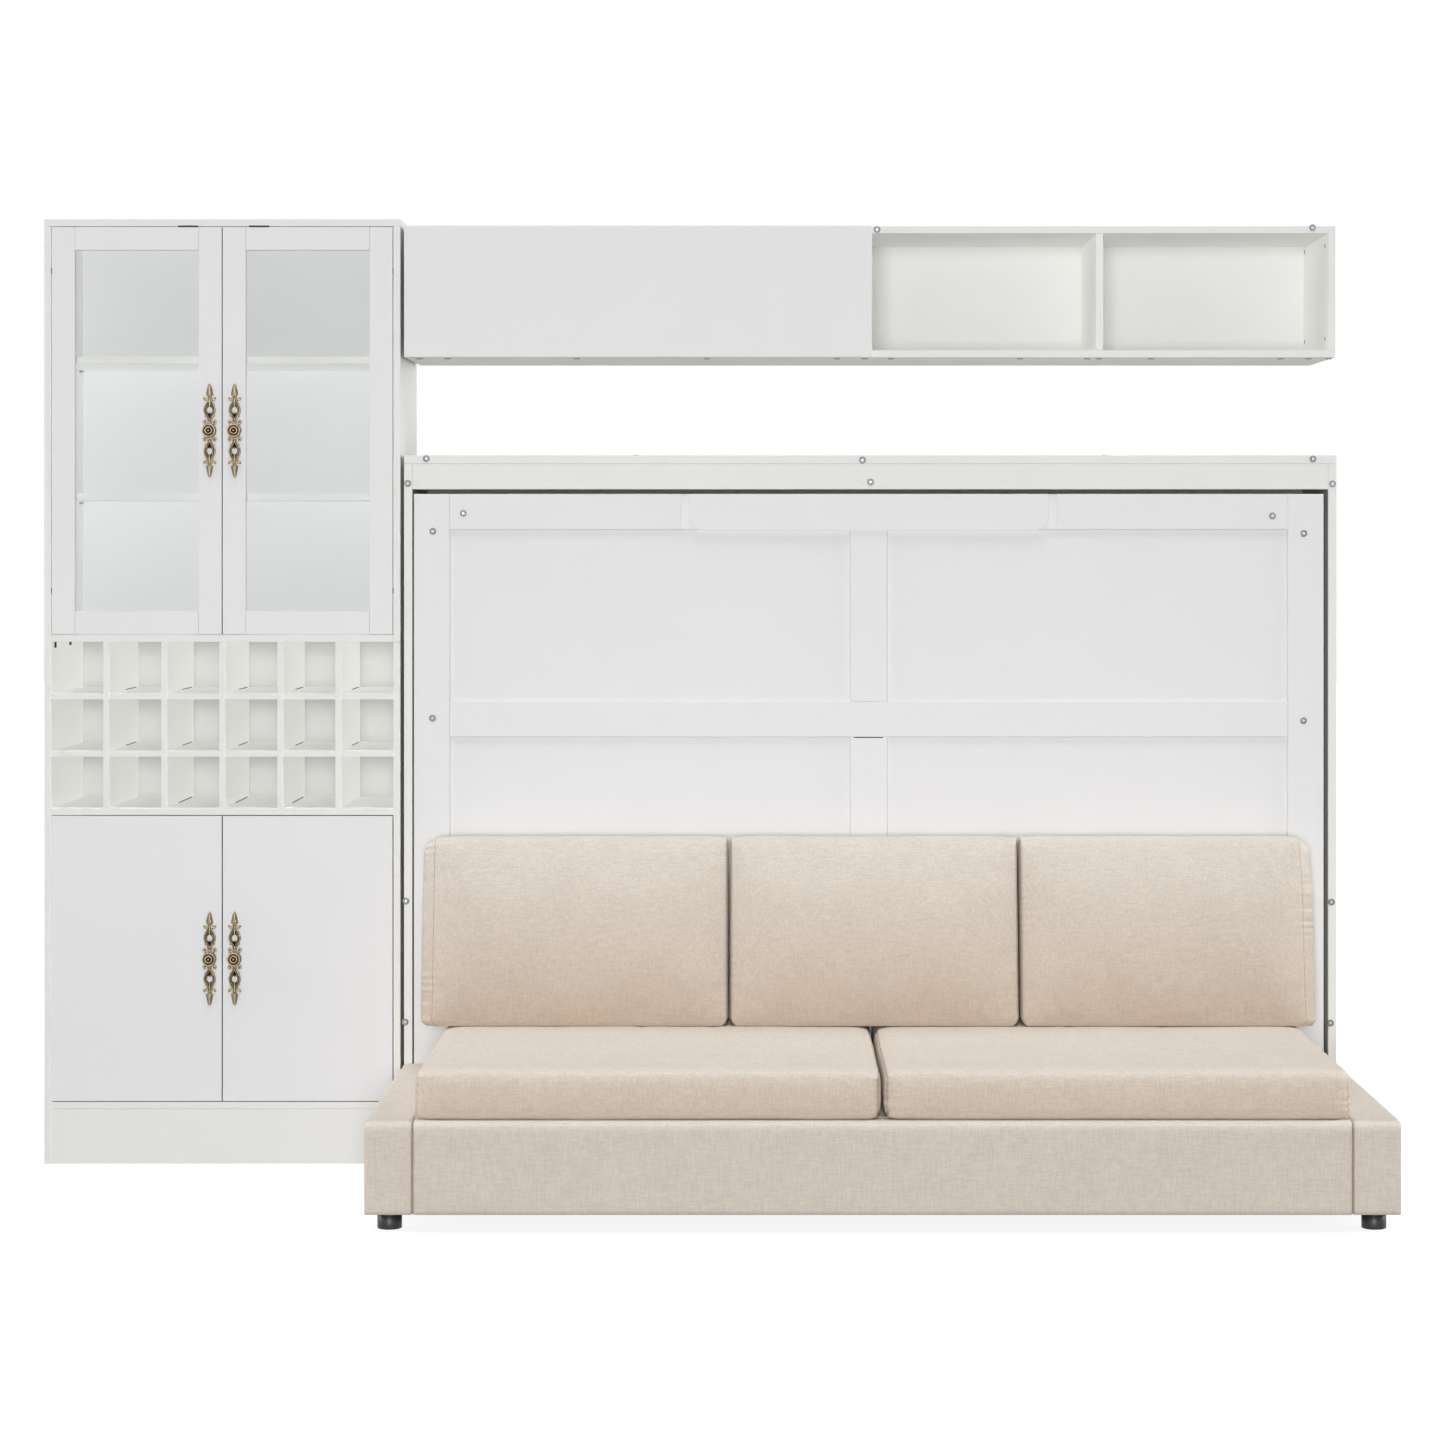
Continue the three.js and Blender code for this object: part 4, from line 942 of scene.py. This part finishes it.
def handle_mesh():
    """An openwork backplate with scrolls and leaf finials, and a round knob turned with rings."""
    shape = bmesh.new()
    rosette = [(0, 0.2), (14.2, 0.2), (14.8, 1.2), (14.8, 2.6), (13.2, 3.8), (11.6, 3.4), (9, 5)]
    neck = [(6.4, 7), (5.6, 10), (6.6, 13), (10.5, 14.8), (13.6, 16.4)]
    rings = [(14.8, 18.2), (14.6, 20.2), (13.2, 21.6), (11.8, 21.2), (10.6, 18.6), (9.4, 18.8), (8.6, 21.8), (7.2, 23)]
    crown = [(5.8, 22.2), (4.8, 19.4), (3.8, 19.2), (2.9, 21.4), (2.2, 23.6), (1.2, 24.8), (0, 25)]
    profile = [(radius * MM, height * MM) for radius, height in rosette + neck + rings + crown]
    add_lathe(shape, profile, turned_to((0, -1, 0)), 48)
    beads = 22
    bead_ring = 13.9 * MM
    for index in range(beads):
        angle = 2 * math.pi * index / beads
        spot = Vector((bead_ring * math.cos(angle), -3.6 * MM, bead_ring * math.sin(angle)))
        bmesh.ops.create_uvsphere(
            shape, u_segments=8, v_segments=6, radius=1.5 * MM, matrix=Matrix.Translation(spot))
    for up in (-1, 1):
        handle_half(shape, up)
    bmesh.ops.recalc_face_normals(shape, faces=shape.faces)
    return mesh_from(shape, "handle")


def handles():
    mesh = handle_mesh()
    for row in ("glass", "lower"):
        for side in ("left", "right"):
            node = f"handle_{row}_{side}"
            low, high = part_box(node)
            centre = (low + high) / 2
            made = mesh.copy()
            made.transform(Matrix.Translation((centre.x, high.y, centre.z)))
            piece(f"{node}_casting", made, "brass", f"{row}_{side}_door", [node])


# Soft parts
def padded_block(size, radius, spacing):
    """A closed block with round edges, on an even grid, centred on the origin."""
    counts = [max(3, round(length / spacing)) for length in size]
    shape = bmesh.new()
    grid = {}

    def corner(index):
        if index not in grid:
            point = Vector([size[axis] * (index[axis] / counts[axis] - 0.5) for axis in range(3)])
            core = Vector([max(-h, min(h, v)) for v, h in zip(point, [length / 2 - radius for length in size])])
            away = point - core
            grid[index] = shape.verts.new(core + away.normalized() * radius if away.length > 1e-9 else point)
        return grid[index]

    for axis in range(3):
        u, v = [other for other in range(3) if other != axis]
        for end in (0, counts[axis]):
            for i in range(counts[u]):
                for j in range(counts[v]):
                    corners = []
                    for du, dv in ((0, 0), (1, 0), (1, 1), (0, 1)):
                        index = [0, 0, 0]
                        index[axis], index[u], index[v] = end, i + du, j + dv
                        corners.append(corner(tuple(index)))
                    shape.faces.new(corners)
    bmesh.ops.recalc_face_normals(shape, faces=shape.faces)
    return mesh_from(shape, "padded_block")


def apply_all(made):
    """Turns an object's modifiers into its mesh."""
    graph = bpy.context.evaluated_depsgraph_get()
    mesh = bpy.data.meshes.new_from_object(made.evaluated_get(graph))
    made.modifiers.clear()
    made.data = mesh
    return mesh


def inflate(mesh, size, radius, voxel):
    """Runs cloth under pressure on a remeshed block, held along its edges, which foam keeps straight."""
    scene = bpy.context.scene
    shell = bpy.data.objects.new("shell", mesh)
    scene.collection.objects.link(shell)
    remesh = shell.modifiers.new("remesh", "REMESH")
    remesh.mode = "VOXEL"
    remesh.voxel_size = voxel
    start = [vertex.co.copy() for vertex in apply_all(shell).vertices]
    half = size / 2
    held = [index for index, point in enumerate(start)
            if sum(abs(point[axis]) > half[axis] - radius for axis in range(3)) > 1]
    shell.vertex_groups.new(name="edges").add(held, 1.0, "REPLACE")
    cloth = shell.modifiers.new("cloth", "CLOTH")
    cloth.settings.use_pressure = True
    cloth.settings.uniform_pressure_force = 4.0
    cloth.settings.effector_weights.gravity = 0
    cloth.settings.vertex_group_mass = "edges"
    cloth.settings.shrink_min = -0.01
    cloth.settings.bending_stiffness = 0.5
    cloth.point_cache.frame_start = 1
    cloth.point_cache.frame_end = SIM_FRAMES
    for step in range(1, SIM_FRAMES + 1):
        scene.frame_set(step)
    for vertex, before in zip(apply_all(shell).vertices, start):
        move = vertex.co - before
        vertex.co = before + move * (SWELL_CAP / max(SWELL_CAP, move.length))
    scene.frame_set(1)
    relax = shell.modifiers.new("relax", "SMOOTH")
    relax.iterations = 6
    subdivide = shell.modifiers.new("subdivide", "SUBSURF")
    subdivide.levels = subdivide.render_levels = 1
    swollen = apply_all(shell)
    bpy.data.objects.remove(shell)
    return swollen


def seam_loops(mesh, seam):
    """Cuts edge loops along both seams, so that they can be drawn in crisply."""
    shape = bmesh.new()
    shape.from_mesh(mesh)
    for place in (-seam, seam):
        for offset in (-SEAM_WIDTH, 0, SEAM_WIDTH):
            everything = [*shape.verts, *shape.edges, *shape.faces]
            bmesh.ops.bisect_plane(
                shape, geom=everything, dist=0.2 * MM, plane_co=(place + offset, 0, 0), plane_no=(1, 0, 0),
            )
    shape.to_mesh(mesh)
    shape.free()


def seam_rings(mesh, size, seam):
    """The vertices along each seam, in order round the cushion."""
    rings = []
    for place in (-seam, seam):
        ring = [vertex.index for vertex in mesh.vertices if abs(vertex.co.x - place) < 0.21 * MM]
        ring.sort(key=lambda index: math.atan2(
            mesh.vertices[index].co.z / size.z, mesh.vertices[index].co.y / size.y))
        rings.append(ring)
    return rings


def seam_threads(name, mesh, rings):
    """A fine line of stitching in each seam's groove, its darker linen painted shade."""
    shape = bmesh.new()
    for ring in rings:
        points = [mesh.vertices[index].co.copy() for index in ring]
        count = len(points)
        loops = []
        for index, point in enumerate(points):
            along = (points[(index + 1) % count] - points[index - 1]).normalized()
            side = along.cross(Vector((1, 0, 0))).normalized()
            loops.append([
                shape.verts.new(point + SEAM_RADIUS * (side * math.cos(turn) + Vector((1, 0, 0)) * math.sin(turn)))
                for turn in (math.pi * step / 3 for step in range(6))
            ])
        for low, high in zip(loops, loops[1:] + loops[:1]):
            for step in range(6):
                after = (step + 1) % 6
                shape.faces.new((low[step], low[after], high[after], high[step]))
    bmesh.ops.recalc_face_normals(shape, faces=shape.faces)
    return piece(name, mesh_from(shape, name), "seam", "cushions")


def sewn(mesh, seam, seed, creases, softness):
    """Draws the seams in with puckers beside them, presses creases and adds soft unevenness."""
    offset = Vector((seed * 7.3, seed * 3.1, seed * 1.7))
    normals = [vertex.normal.copy() for vertex in mesh.vertices]
    half_y = max(vertex.co.y for vertex in mesh.vertices)
    half_z = max(vertex.co.z for vertex in mesh.vertices)
    for vertex, normal in zip(mesh.vertices, normals):
        point = vertex.co
        beside = seam - abs(point.x)
        flat = abs(normal.z) > abs(normal.y)
        along = point.y if flat else point.z
        to_corner = (half_y if flat else half_z) - abs(along)
        groove = 0
        if abs(normal.x) < 0.93:
            groove = SEAM_DEPTH * max(0, 1 - abs(beside) / SEAM_WIDTH)
        fold = 0
        if beside < 2 * PUCKER_LENGTH:
            strength = max(0, 0.1 + 1.7 * noise.noise(Vector((along * 7 + seed, seed, 3))))
            strength += CORNER_PUCKER * math.exp(-to_corner / CORNER_REACH)
            wobble = 7 * noise.noise(Vector((along * 31, seed, math.copysign(2, point.x))))
            wave = math.sin(2 * math.pi * along / PUCKER_SPACING + wobble)
            fold = PUCKER_HEIGHT * strength * wave * math.exp(-abs(beside) / (PUCKER_LENGTH * 0.45))
        soft = 1.7 * noise.noise(point * 5 + offset) + 0.5 * noise.noise(point * 21 + offset)
        crease = 0
        if point.z > 0:
            for place, slant in creases:
                away = point.x - place - slant * point.y - 8 * MM * noise.noise(Vector((point.y * 9, seed, 7)))
                crease += 1.3 * MM * math.exp(-(away / (9 * MM)) ** 2)
        vertex.co = point + normal * (fold + soft * softness * MM - groove - crease)


def soft_limit(value, limit, softness):
    """Lets a value come near a limit but never past it, easing off over the softness."""
    start = limit - softness
    if value <= start:
        return value
    return start + softness * math.tanh((value - start) / softness)


def seat_cushions():
    low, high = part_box("seat_cushion_left")
    size = high - low
    radius = 15 * MM
    foam = size - Vector((3, 6, 8)) * MM
    swollen = inflate(padded_block(foam, radius, 12 * MM), foam, radius, SEAT_VOXEL)
    seam = foam.x / 2 - SEAT_SEAM_INSET
    seam_loops(swollen, seam)
    rings = seam_rings(swollen, size, seam)
    for side, way, creases in (
        ("left", 1, ((-0.075, 0.16), (0.105, 0.05))), ("right", -1, ((-0.02, -0.1), (0.21, -0.22))),
    ):
        node = f"seat_cushion_{side}"
        low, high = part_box(node)
        middle = (low + high) / 2
        made = swollen.copy()
        if way < 0:
            made.transform(Matrix.Diagonal((-1, 1, 1, 1)))
            made.flip_normals()
        for vertex in made.vertices:
            x, y, z = vertex.co
            x = math.copysign(soft_limit(abs(x), size.x / 2 + 0.6 * MM, 3 * MM), x)
            y = math.copysign(soft_limit(abs(y), size.y / 2, 4 * MM), y)
            z = max(0, soft_limit(z + foam.z / 2 - 1 * MM, size.z - SEAT_DENT, 8 * MM)) - size.z / 2
            vertex.co = (x, y, z)
        made.update()
        sewn(made, seam, 1.5 + way, creases, 0.7)
        made.transform(Matrix.Translation(middle))
        cushion = piece(f"{node}_cover", made, "cushion", "cushions", [node])
        seam_threads(f"{node}_seams", made, rings)


def smooth_step(value):
    """Eases from 0 to 1 as a value goes from 0 to 1."""
    share = max(0, min(1, value))
    return share * share * (3 - 2 * share)


def squared(across, down, radius):
    """Draws a round corner out towards a square one; takes and gives the distances from both edges."""
    x = 1 - across / radius
    z = 1 - down / radius
    if min(x, z) <= 0:
        return across, down
    scale = math.hypot(x, z) / (x ** 4 + z ** 4) ** 0.25
    return radius * max(0, 1 - x * scale), radius * max(0, 1 - z * scale)


def tightened(inward, radius, tight, fade):
    """Narrows the rounding at an end to the tight width and spreads what lies behind it up to the fade."""
    if inward < radius:
        return inward * tight / radius
    if inward < fade:
        return tight + (inward - radius) * (fade - tight) / (fade - radius)
    return inward


def settle(made, size, low, high, outer):
    """Leans a cushion back, stands it flat on the seat and shapes its corners; outer is its free end."""
    lean = math.tan(BACK_LEAN)
    for vertex in made.vertices:
        lowness = max(0, min(1, 0.5 - vertex.co.y / size.y))
        vertex.co.y -= vertex.co.z * lean * lowness
    made.transform(Matrix.Rotation(math.pi / 2 - BACK_LEAN, 4, "X"))
    half_y = (size.z * math.cos(BACK_LEAN) + size.y * math.sin(BACK_LEAN)) / 2
    rise = low.z - BACK_SINK + size.y / 2 * math.cos(BACK_LEAN)
    made.transform(Matrix.Translation(((low.x + high.x) / 2, high.y - half_y, rise)))
    middle = (low.x + high.x) / 2
    height = high.z - low.z
    for vertex in made.vertices:
        x, y, z = vertex.co
        way = math.copysign(1, x - middle)
        reach = soft_limit(abs(x - middle), size.x / 2, 3 * MM)
        inward = size.x / 2 - reach
        z = max(min(z, high.z + 3 * MM), low.z)
        if way != outer:
            inward, down = squared(inward, high.z + 3 * MM - z, CORNER_ROUND)
            z = high.z + 3 * MM - down
        inward, up = squared(inward, z - low.z, CORNER_ROUND)
        z = low.z + up
        if way != outer:
            inward = tightened(inward, END_ROUND, END_TIGHT, END_FADE)
        reach = size.x / 2 - inward
        share = (z - low.z) / height
        front = smooth_step((high.y - y - BACK_DEPTH * 0.25) / (BACK_DEPTH * 0.5))
        near_end = 1 - smooth_step(inward / (35 * MM))
        pinch = front * near_end * 11 * MM * max(0, 1 - share * 20) ** 2
        if way == outer:
            bulge = smooth_step(inward / BACK_SEAM_INSET) * (1 - smooth_step(inward / (150 * MM)))
            drop = 10 * MM if outer > 0 else 3 * MM
            curve = drop * max(0, share * 2.5 - 1.5) ** 2
            pinch += BOXING_BULGE * bulge + curve * near_end
        y = -soft_limit(-y, -low.y + 4 * MM, 8 * MM)
        vertex.co = (middle + way * (reach - pinch), min(y, high.y), z)


def back_cushions():
    low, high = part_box("back_cushion_middle")
    height = (high.z - low.z + BACK_SINK - BACK_DEPTH / 2 * math.sin(BACK_LEAN)) / math.cos(BACK_LEAN)
    size = Vector((high.x - low.x + 3 * MM, height, BACK_DEPTH))
    radius = 15 * MM
    foam = size - Vector((4, 0, 12)) * MM
    swollen = inflate(padded_block(foam, radius, 12 * MM), foam, radius, BACK_VOXEL)
    seam = foam.x / 2 - BACK_SEAM_INSET
    seam_loops(swollen, seam)
    rings = seam_rings(swollen, size, seam)
    for index, (side, outer) in enumerate((("left", -1), ("middle", 0), ("right", 1))):
        node = f"back_cushion_{side}"
        low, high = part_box(node)
        own = Vector((high.x - low.x + 3 * MM, size.y, size.z))
        stretch = own.x / size.x
        made = swollen.copy()
        made.transform(Matrix.Diagonal((-stretch if index == 1 else stretch, 1, 1, 1)))
        if index == 1:
            made.flip_normals()
        sewn(made, seam * stretch, 4.2 + index, (), 0.6)
        settle(made, own, low, high, outer)
        cushion = piece(f"{node}_cover", made, "back", "cushions", [node])
        seam_threads(f"{node}_seams", made, rings)


def sofa_base():
    """Upholstered arms and front rail with soft edges, and turned plastic feet."""
    for node in ("sofa_arm_left", "sofa_arm_right", "sofa_front_rail"):
        low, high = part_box(node)
        half = (high - low) / 2
        mesh = padded_block(high - low, BASE_ROLL, 9 * MM)
        for vertex in mesh.vertices:
            x, y, z = vertex.co
            inward = tightened(half.x - abs(x), BASE_ROLL, BASE_EDGE, BASE_FADE)
            rise = tightened(z + half.z, BASE_ROLL, BASE_EDGE, BASE_FADE)
            vertex.co = (math.copysign(half.x - inward, x), y, rise - half.z)
        mesh.transform(Matrix.Translation((low + high) / 2))
        made = piece(f"{node}_cover", mesh, "base", "cabinets", [node])
    # The front seams are strips of the darker seam linen: painted shade in the joints between the rail and the arms.
    low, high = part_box("sofa_front_rail")
    boxes = [
        ((x - SEAM_RADIUS, low.y + SEAM_DEPTH, low.z + BASE_EDGE),
         (x + SEAM_RADIUS, low.y + BASE_EDGE, high.z - BASE_ROLL))
        for x in (low.x, high.x)
    ]
    boards("sofa_front_seams", boxes, "seam", "cabinets", bevel=0.2 * MM)
    for end in ("front", "rear"):
        for side in ("left", "right"):
            node = f"sofa_foot_{end}_{side}"
            low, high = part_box(node)
            centre = (low + high) / 2
            radius = (high.x - low.x) / 2
            height = high.z - low.z
            shape = bmesh.new()
            add_lathe(shape, [
                (0, 0), (radius - 3 * MM, 0), (radius - 1.4 * MM, 0.6 * MM), (radius - 0.6 * MM, 2 * MM),
                (radius - 0.6 * MM, height - 7 * MM), (radius - 1.4 * MM, height - 6.4 * MM),
                (radius - 1.4 * MM, height - 5 * MM), (radius, height - 4.4 * MM), (radius, height - 0.6 * MM),
                (radius - 0.8 * MM, height), (0, height),
            ], Matrix.Translation((centre.x, centre.y, low.z)), 64)
            piece(f"{node}_turned", mesh_from(shape, node), "black", "cabinets", [node])


# Studio
def stage_floor():
    graph = Graph("studio_floor", Roughness=0.7, Specular_IOR_Level=0.2)
    graph.shader.inputs["Base Color"].default_value = colour(130, 130, 130)
    path = graph.add("LightPath").outputs
    seen = graph.math("MAXIMUM", path["Is Camera Ray"], path["Is Glossy Ray"])
    seen = graph.math("MAXIMUM", seen, path["Is Transmission Ray"])
    away = graph.add("VectorMath", {0: graph.place}, operation="LENGTH").outputs["Value"]
    level = graph.span(away, FLOOR_NEAR, FLOOR_FAR, FLOOR_LIFT_NEAR, FLOOR_LIFT_FAR)
    lift = graph.add("Emission", {"Color": (1, 1, 1, 1), "Strength": graph.math("MULTIPLY", seen, level)})
    both = graph.add("AddShader", {0: graph.shader.outputs["BSDF"], 1: lift.outputs["Emission"]})
    graph.tree.links.new(both.outputs["Shader"], graph.tree.nodes["Material Output"].inputs["Surface"])
    shape = bmesh.new()
    bmesh.ops.create_grid(shape, x_segments=4, y_segments=4, size=30)
    mesh = mesh_from(shape, "floor")
    mesh.materials.append(graph.material)
    floor = bpy.data.objects.new("floor", mesh)
    bpy.context.scene.collection.objects.link(floor)


def lights():
    world = bpy.data.worlds.new("studio")
    bpy.context.scene.world = world
    world.use_nodes = True
    tree = world.node_tree
    tree.nodes.clear()
    path = tree.nodes.new("ShaderNodeLightPath").outputs

    def larger(first, second):
        made = tree.nodes.new("ShaderNodeMath")
        made.operation = "MAXIMUM"
        tree.links.new(first, made.inputs[0])
        tree.links.new(second, made.inputs[1])
        return made.outputs["Value"]

    seen = larger(path["Is Camera Ray"], larger(path["Is Glossy Ray"], path["Is Transmission Ray"]))
    strength = tree.nodes.new("ShaderNodeMapRange")
    tree.links.new(seen, strength.inputs["Value"])
    strength.inputs["To Min"].default_value = AMBIENT
    strength.inputs["To Max"].default_value = 1.0
    background = tree.nodes.new("ShaderNodeBackground")
    background.inputs["Color"].default_value = (1, 1, 1, 1)
    tree.links.new(strength.outputs["Result"], background.inputs["Strength"])
    output = tree.nodes.new("ShaderNodeOutputWorld")
    tree.links.new(background.outputs["Background"], output.inputs["Surface"])
    sun("overhead", (0, 0.25, -1), 1.35, OVERHEAD_SPREAD)
    lamp("left_fill", (-7, 0.3, 2.4), (0, 0.3, 1), 2.6, 240)
    lamp("right_fill", (7, 0.3, 2.4), (0, 0.3, 1), 2.6, 240)
    lamp("back_fill", (0, 7, 2.8), (0, 0, 1), 2.8, 240)
    frontal = lamp("frontal", (-0.2, -13, 1.6), (-0.2, 0, 1.1), 2.7, 1070)
    others = bpy.data.collections.new("frontal_light")
    others.objects.link(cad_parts["tall_upper_back"])
    others.collection_objects[0].light_linking.link_state = "EXCLUDE"
    frontal.light_linking.receiver_collection = others


def lamp(name, place, target, size, power):
    data = bpy.data.lights.new(name, "AREA")
    data.size = size
    data.energy = power
    made = bpy.data.objects.new(name, data)
    made.location = place
    made.rotation_euler = (Vector(target) - Vector(place)).to_track_quat("-Z", "Y").to_euler()
    bpy.context.scene.collection.objects.link(made)
    return made


def sun(name, direction, strength, spread):
    data = bpy.data.lights.new(name, "SUN")
    data.energy = strength
    data.angle = spread
    made = bpy.data.objects.new(name, data)
    made.rotation_euler = Vector(direction).to_track_quat("-Z", "Y").to_euler()
    bpy.context.scene.collection.objects.link(made)
    return made


def inside_fills():
    """Soft fill in the open compartments, without shadows, on the boards that line them."""
    rack = ["wine_rack_grid", "tall_lower_side_left", "rack_floor_board"]
    shelves = ["display_shelf_lower", "display_shelf_upper"]
    fills = {
        "fill_rack_walls": ((-1, 0, 0), 1.35, rack),
        "fill_rack_floors": ((0, 0, -1), 0.95, rack),
        "fill_left_walls": ((-1, 0, 0), 0.42, [
            "tall_upper_side_left", "wall_shelf_partition", "wall_shelf_divider"]),
        "fill_right_walls": ((1, 0, 0), 0.36, ["tall_upper_side_right", "tall_lower_side_right"]),
        "fill_shelf_right": ((1, 0, 0), 0.95, ["wall_shelf_end_right", "wall_shelf_divider"]),
        "fill_glass_back": ((0, 1, 0), 1.38, ["tall_upper_back"]),
        "fill_glass_wall": ((-1, 0, 0), 0.75, ["tall_upper_side_left"]),
        "fill_shelf_undersides": ((0, 0, 1), 0.6, shelves),
        "fill_floors": ((0, 0, -1), 0.36, shelves + ["tall_middle_board", "wall_shelf_bottom"]),
        "fill_ceilings": ((0, 0, 1), 0.4, shelves + [
            "tall_middle_board", "tall_top_board", "wall_shelf_top", "wall_shelf_bottom"]),
    }
    for name, (direction, strength, nodes) in fills.items():
        made = sun(name, direction, strength, 0)
        made.data.use_shadow = False
        lit = bpy.data.collections.new(name)
        for node in nodes:
            lit.objects.link(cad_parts[node])
        made.light_linking.receiver_collection = lit


make_camera()
dress_nodes()
face_frame()
lower_doors()
glass_doors()
catches()
rack_details()
screws()
small_marks()
handles()
sofa_base()
seat_cushions()
back_cushions()
stage_floor()
lights()
inside_fills()
bpy.context.scene.view_settings.view_transform = "Standard"
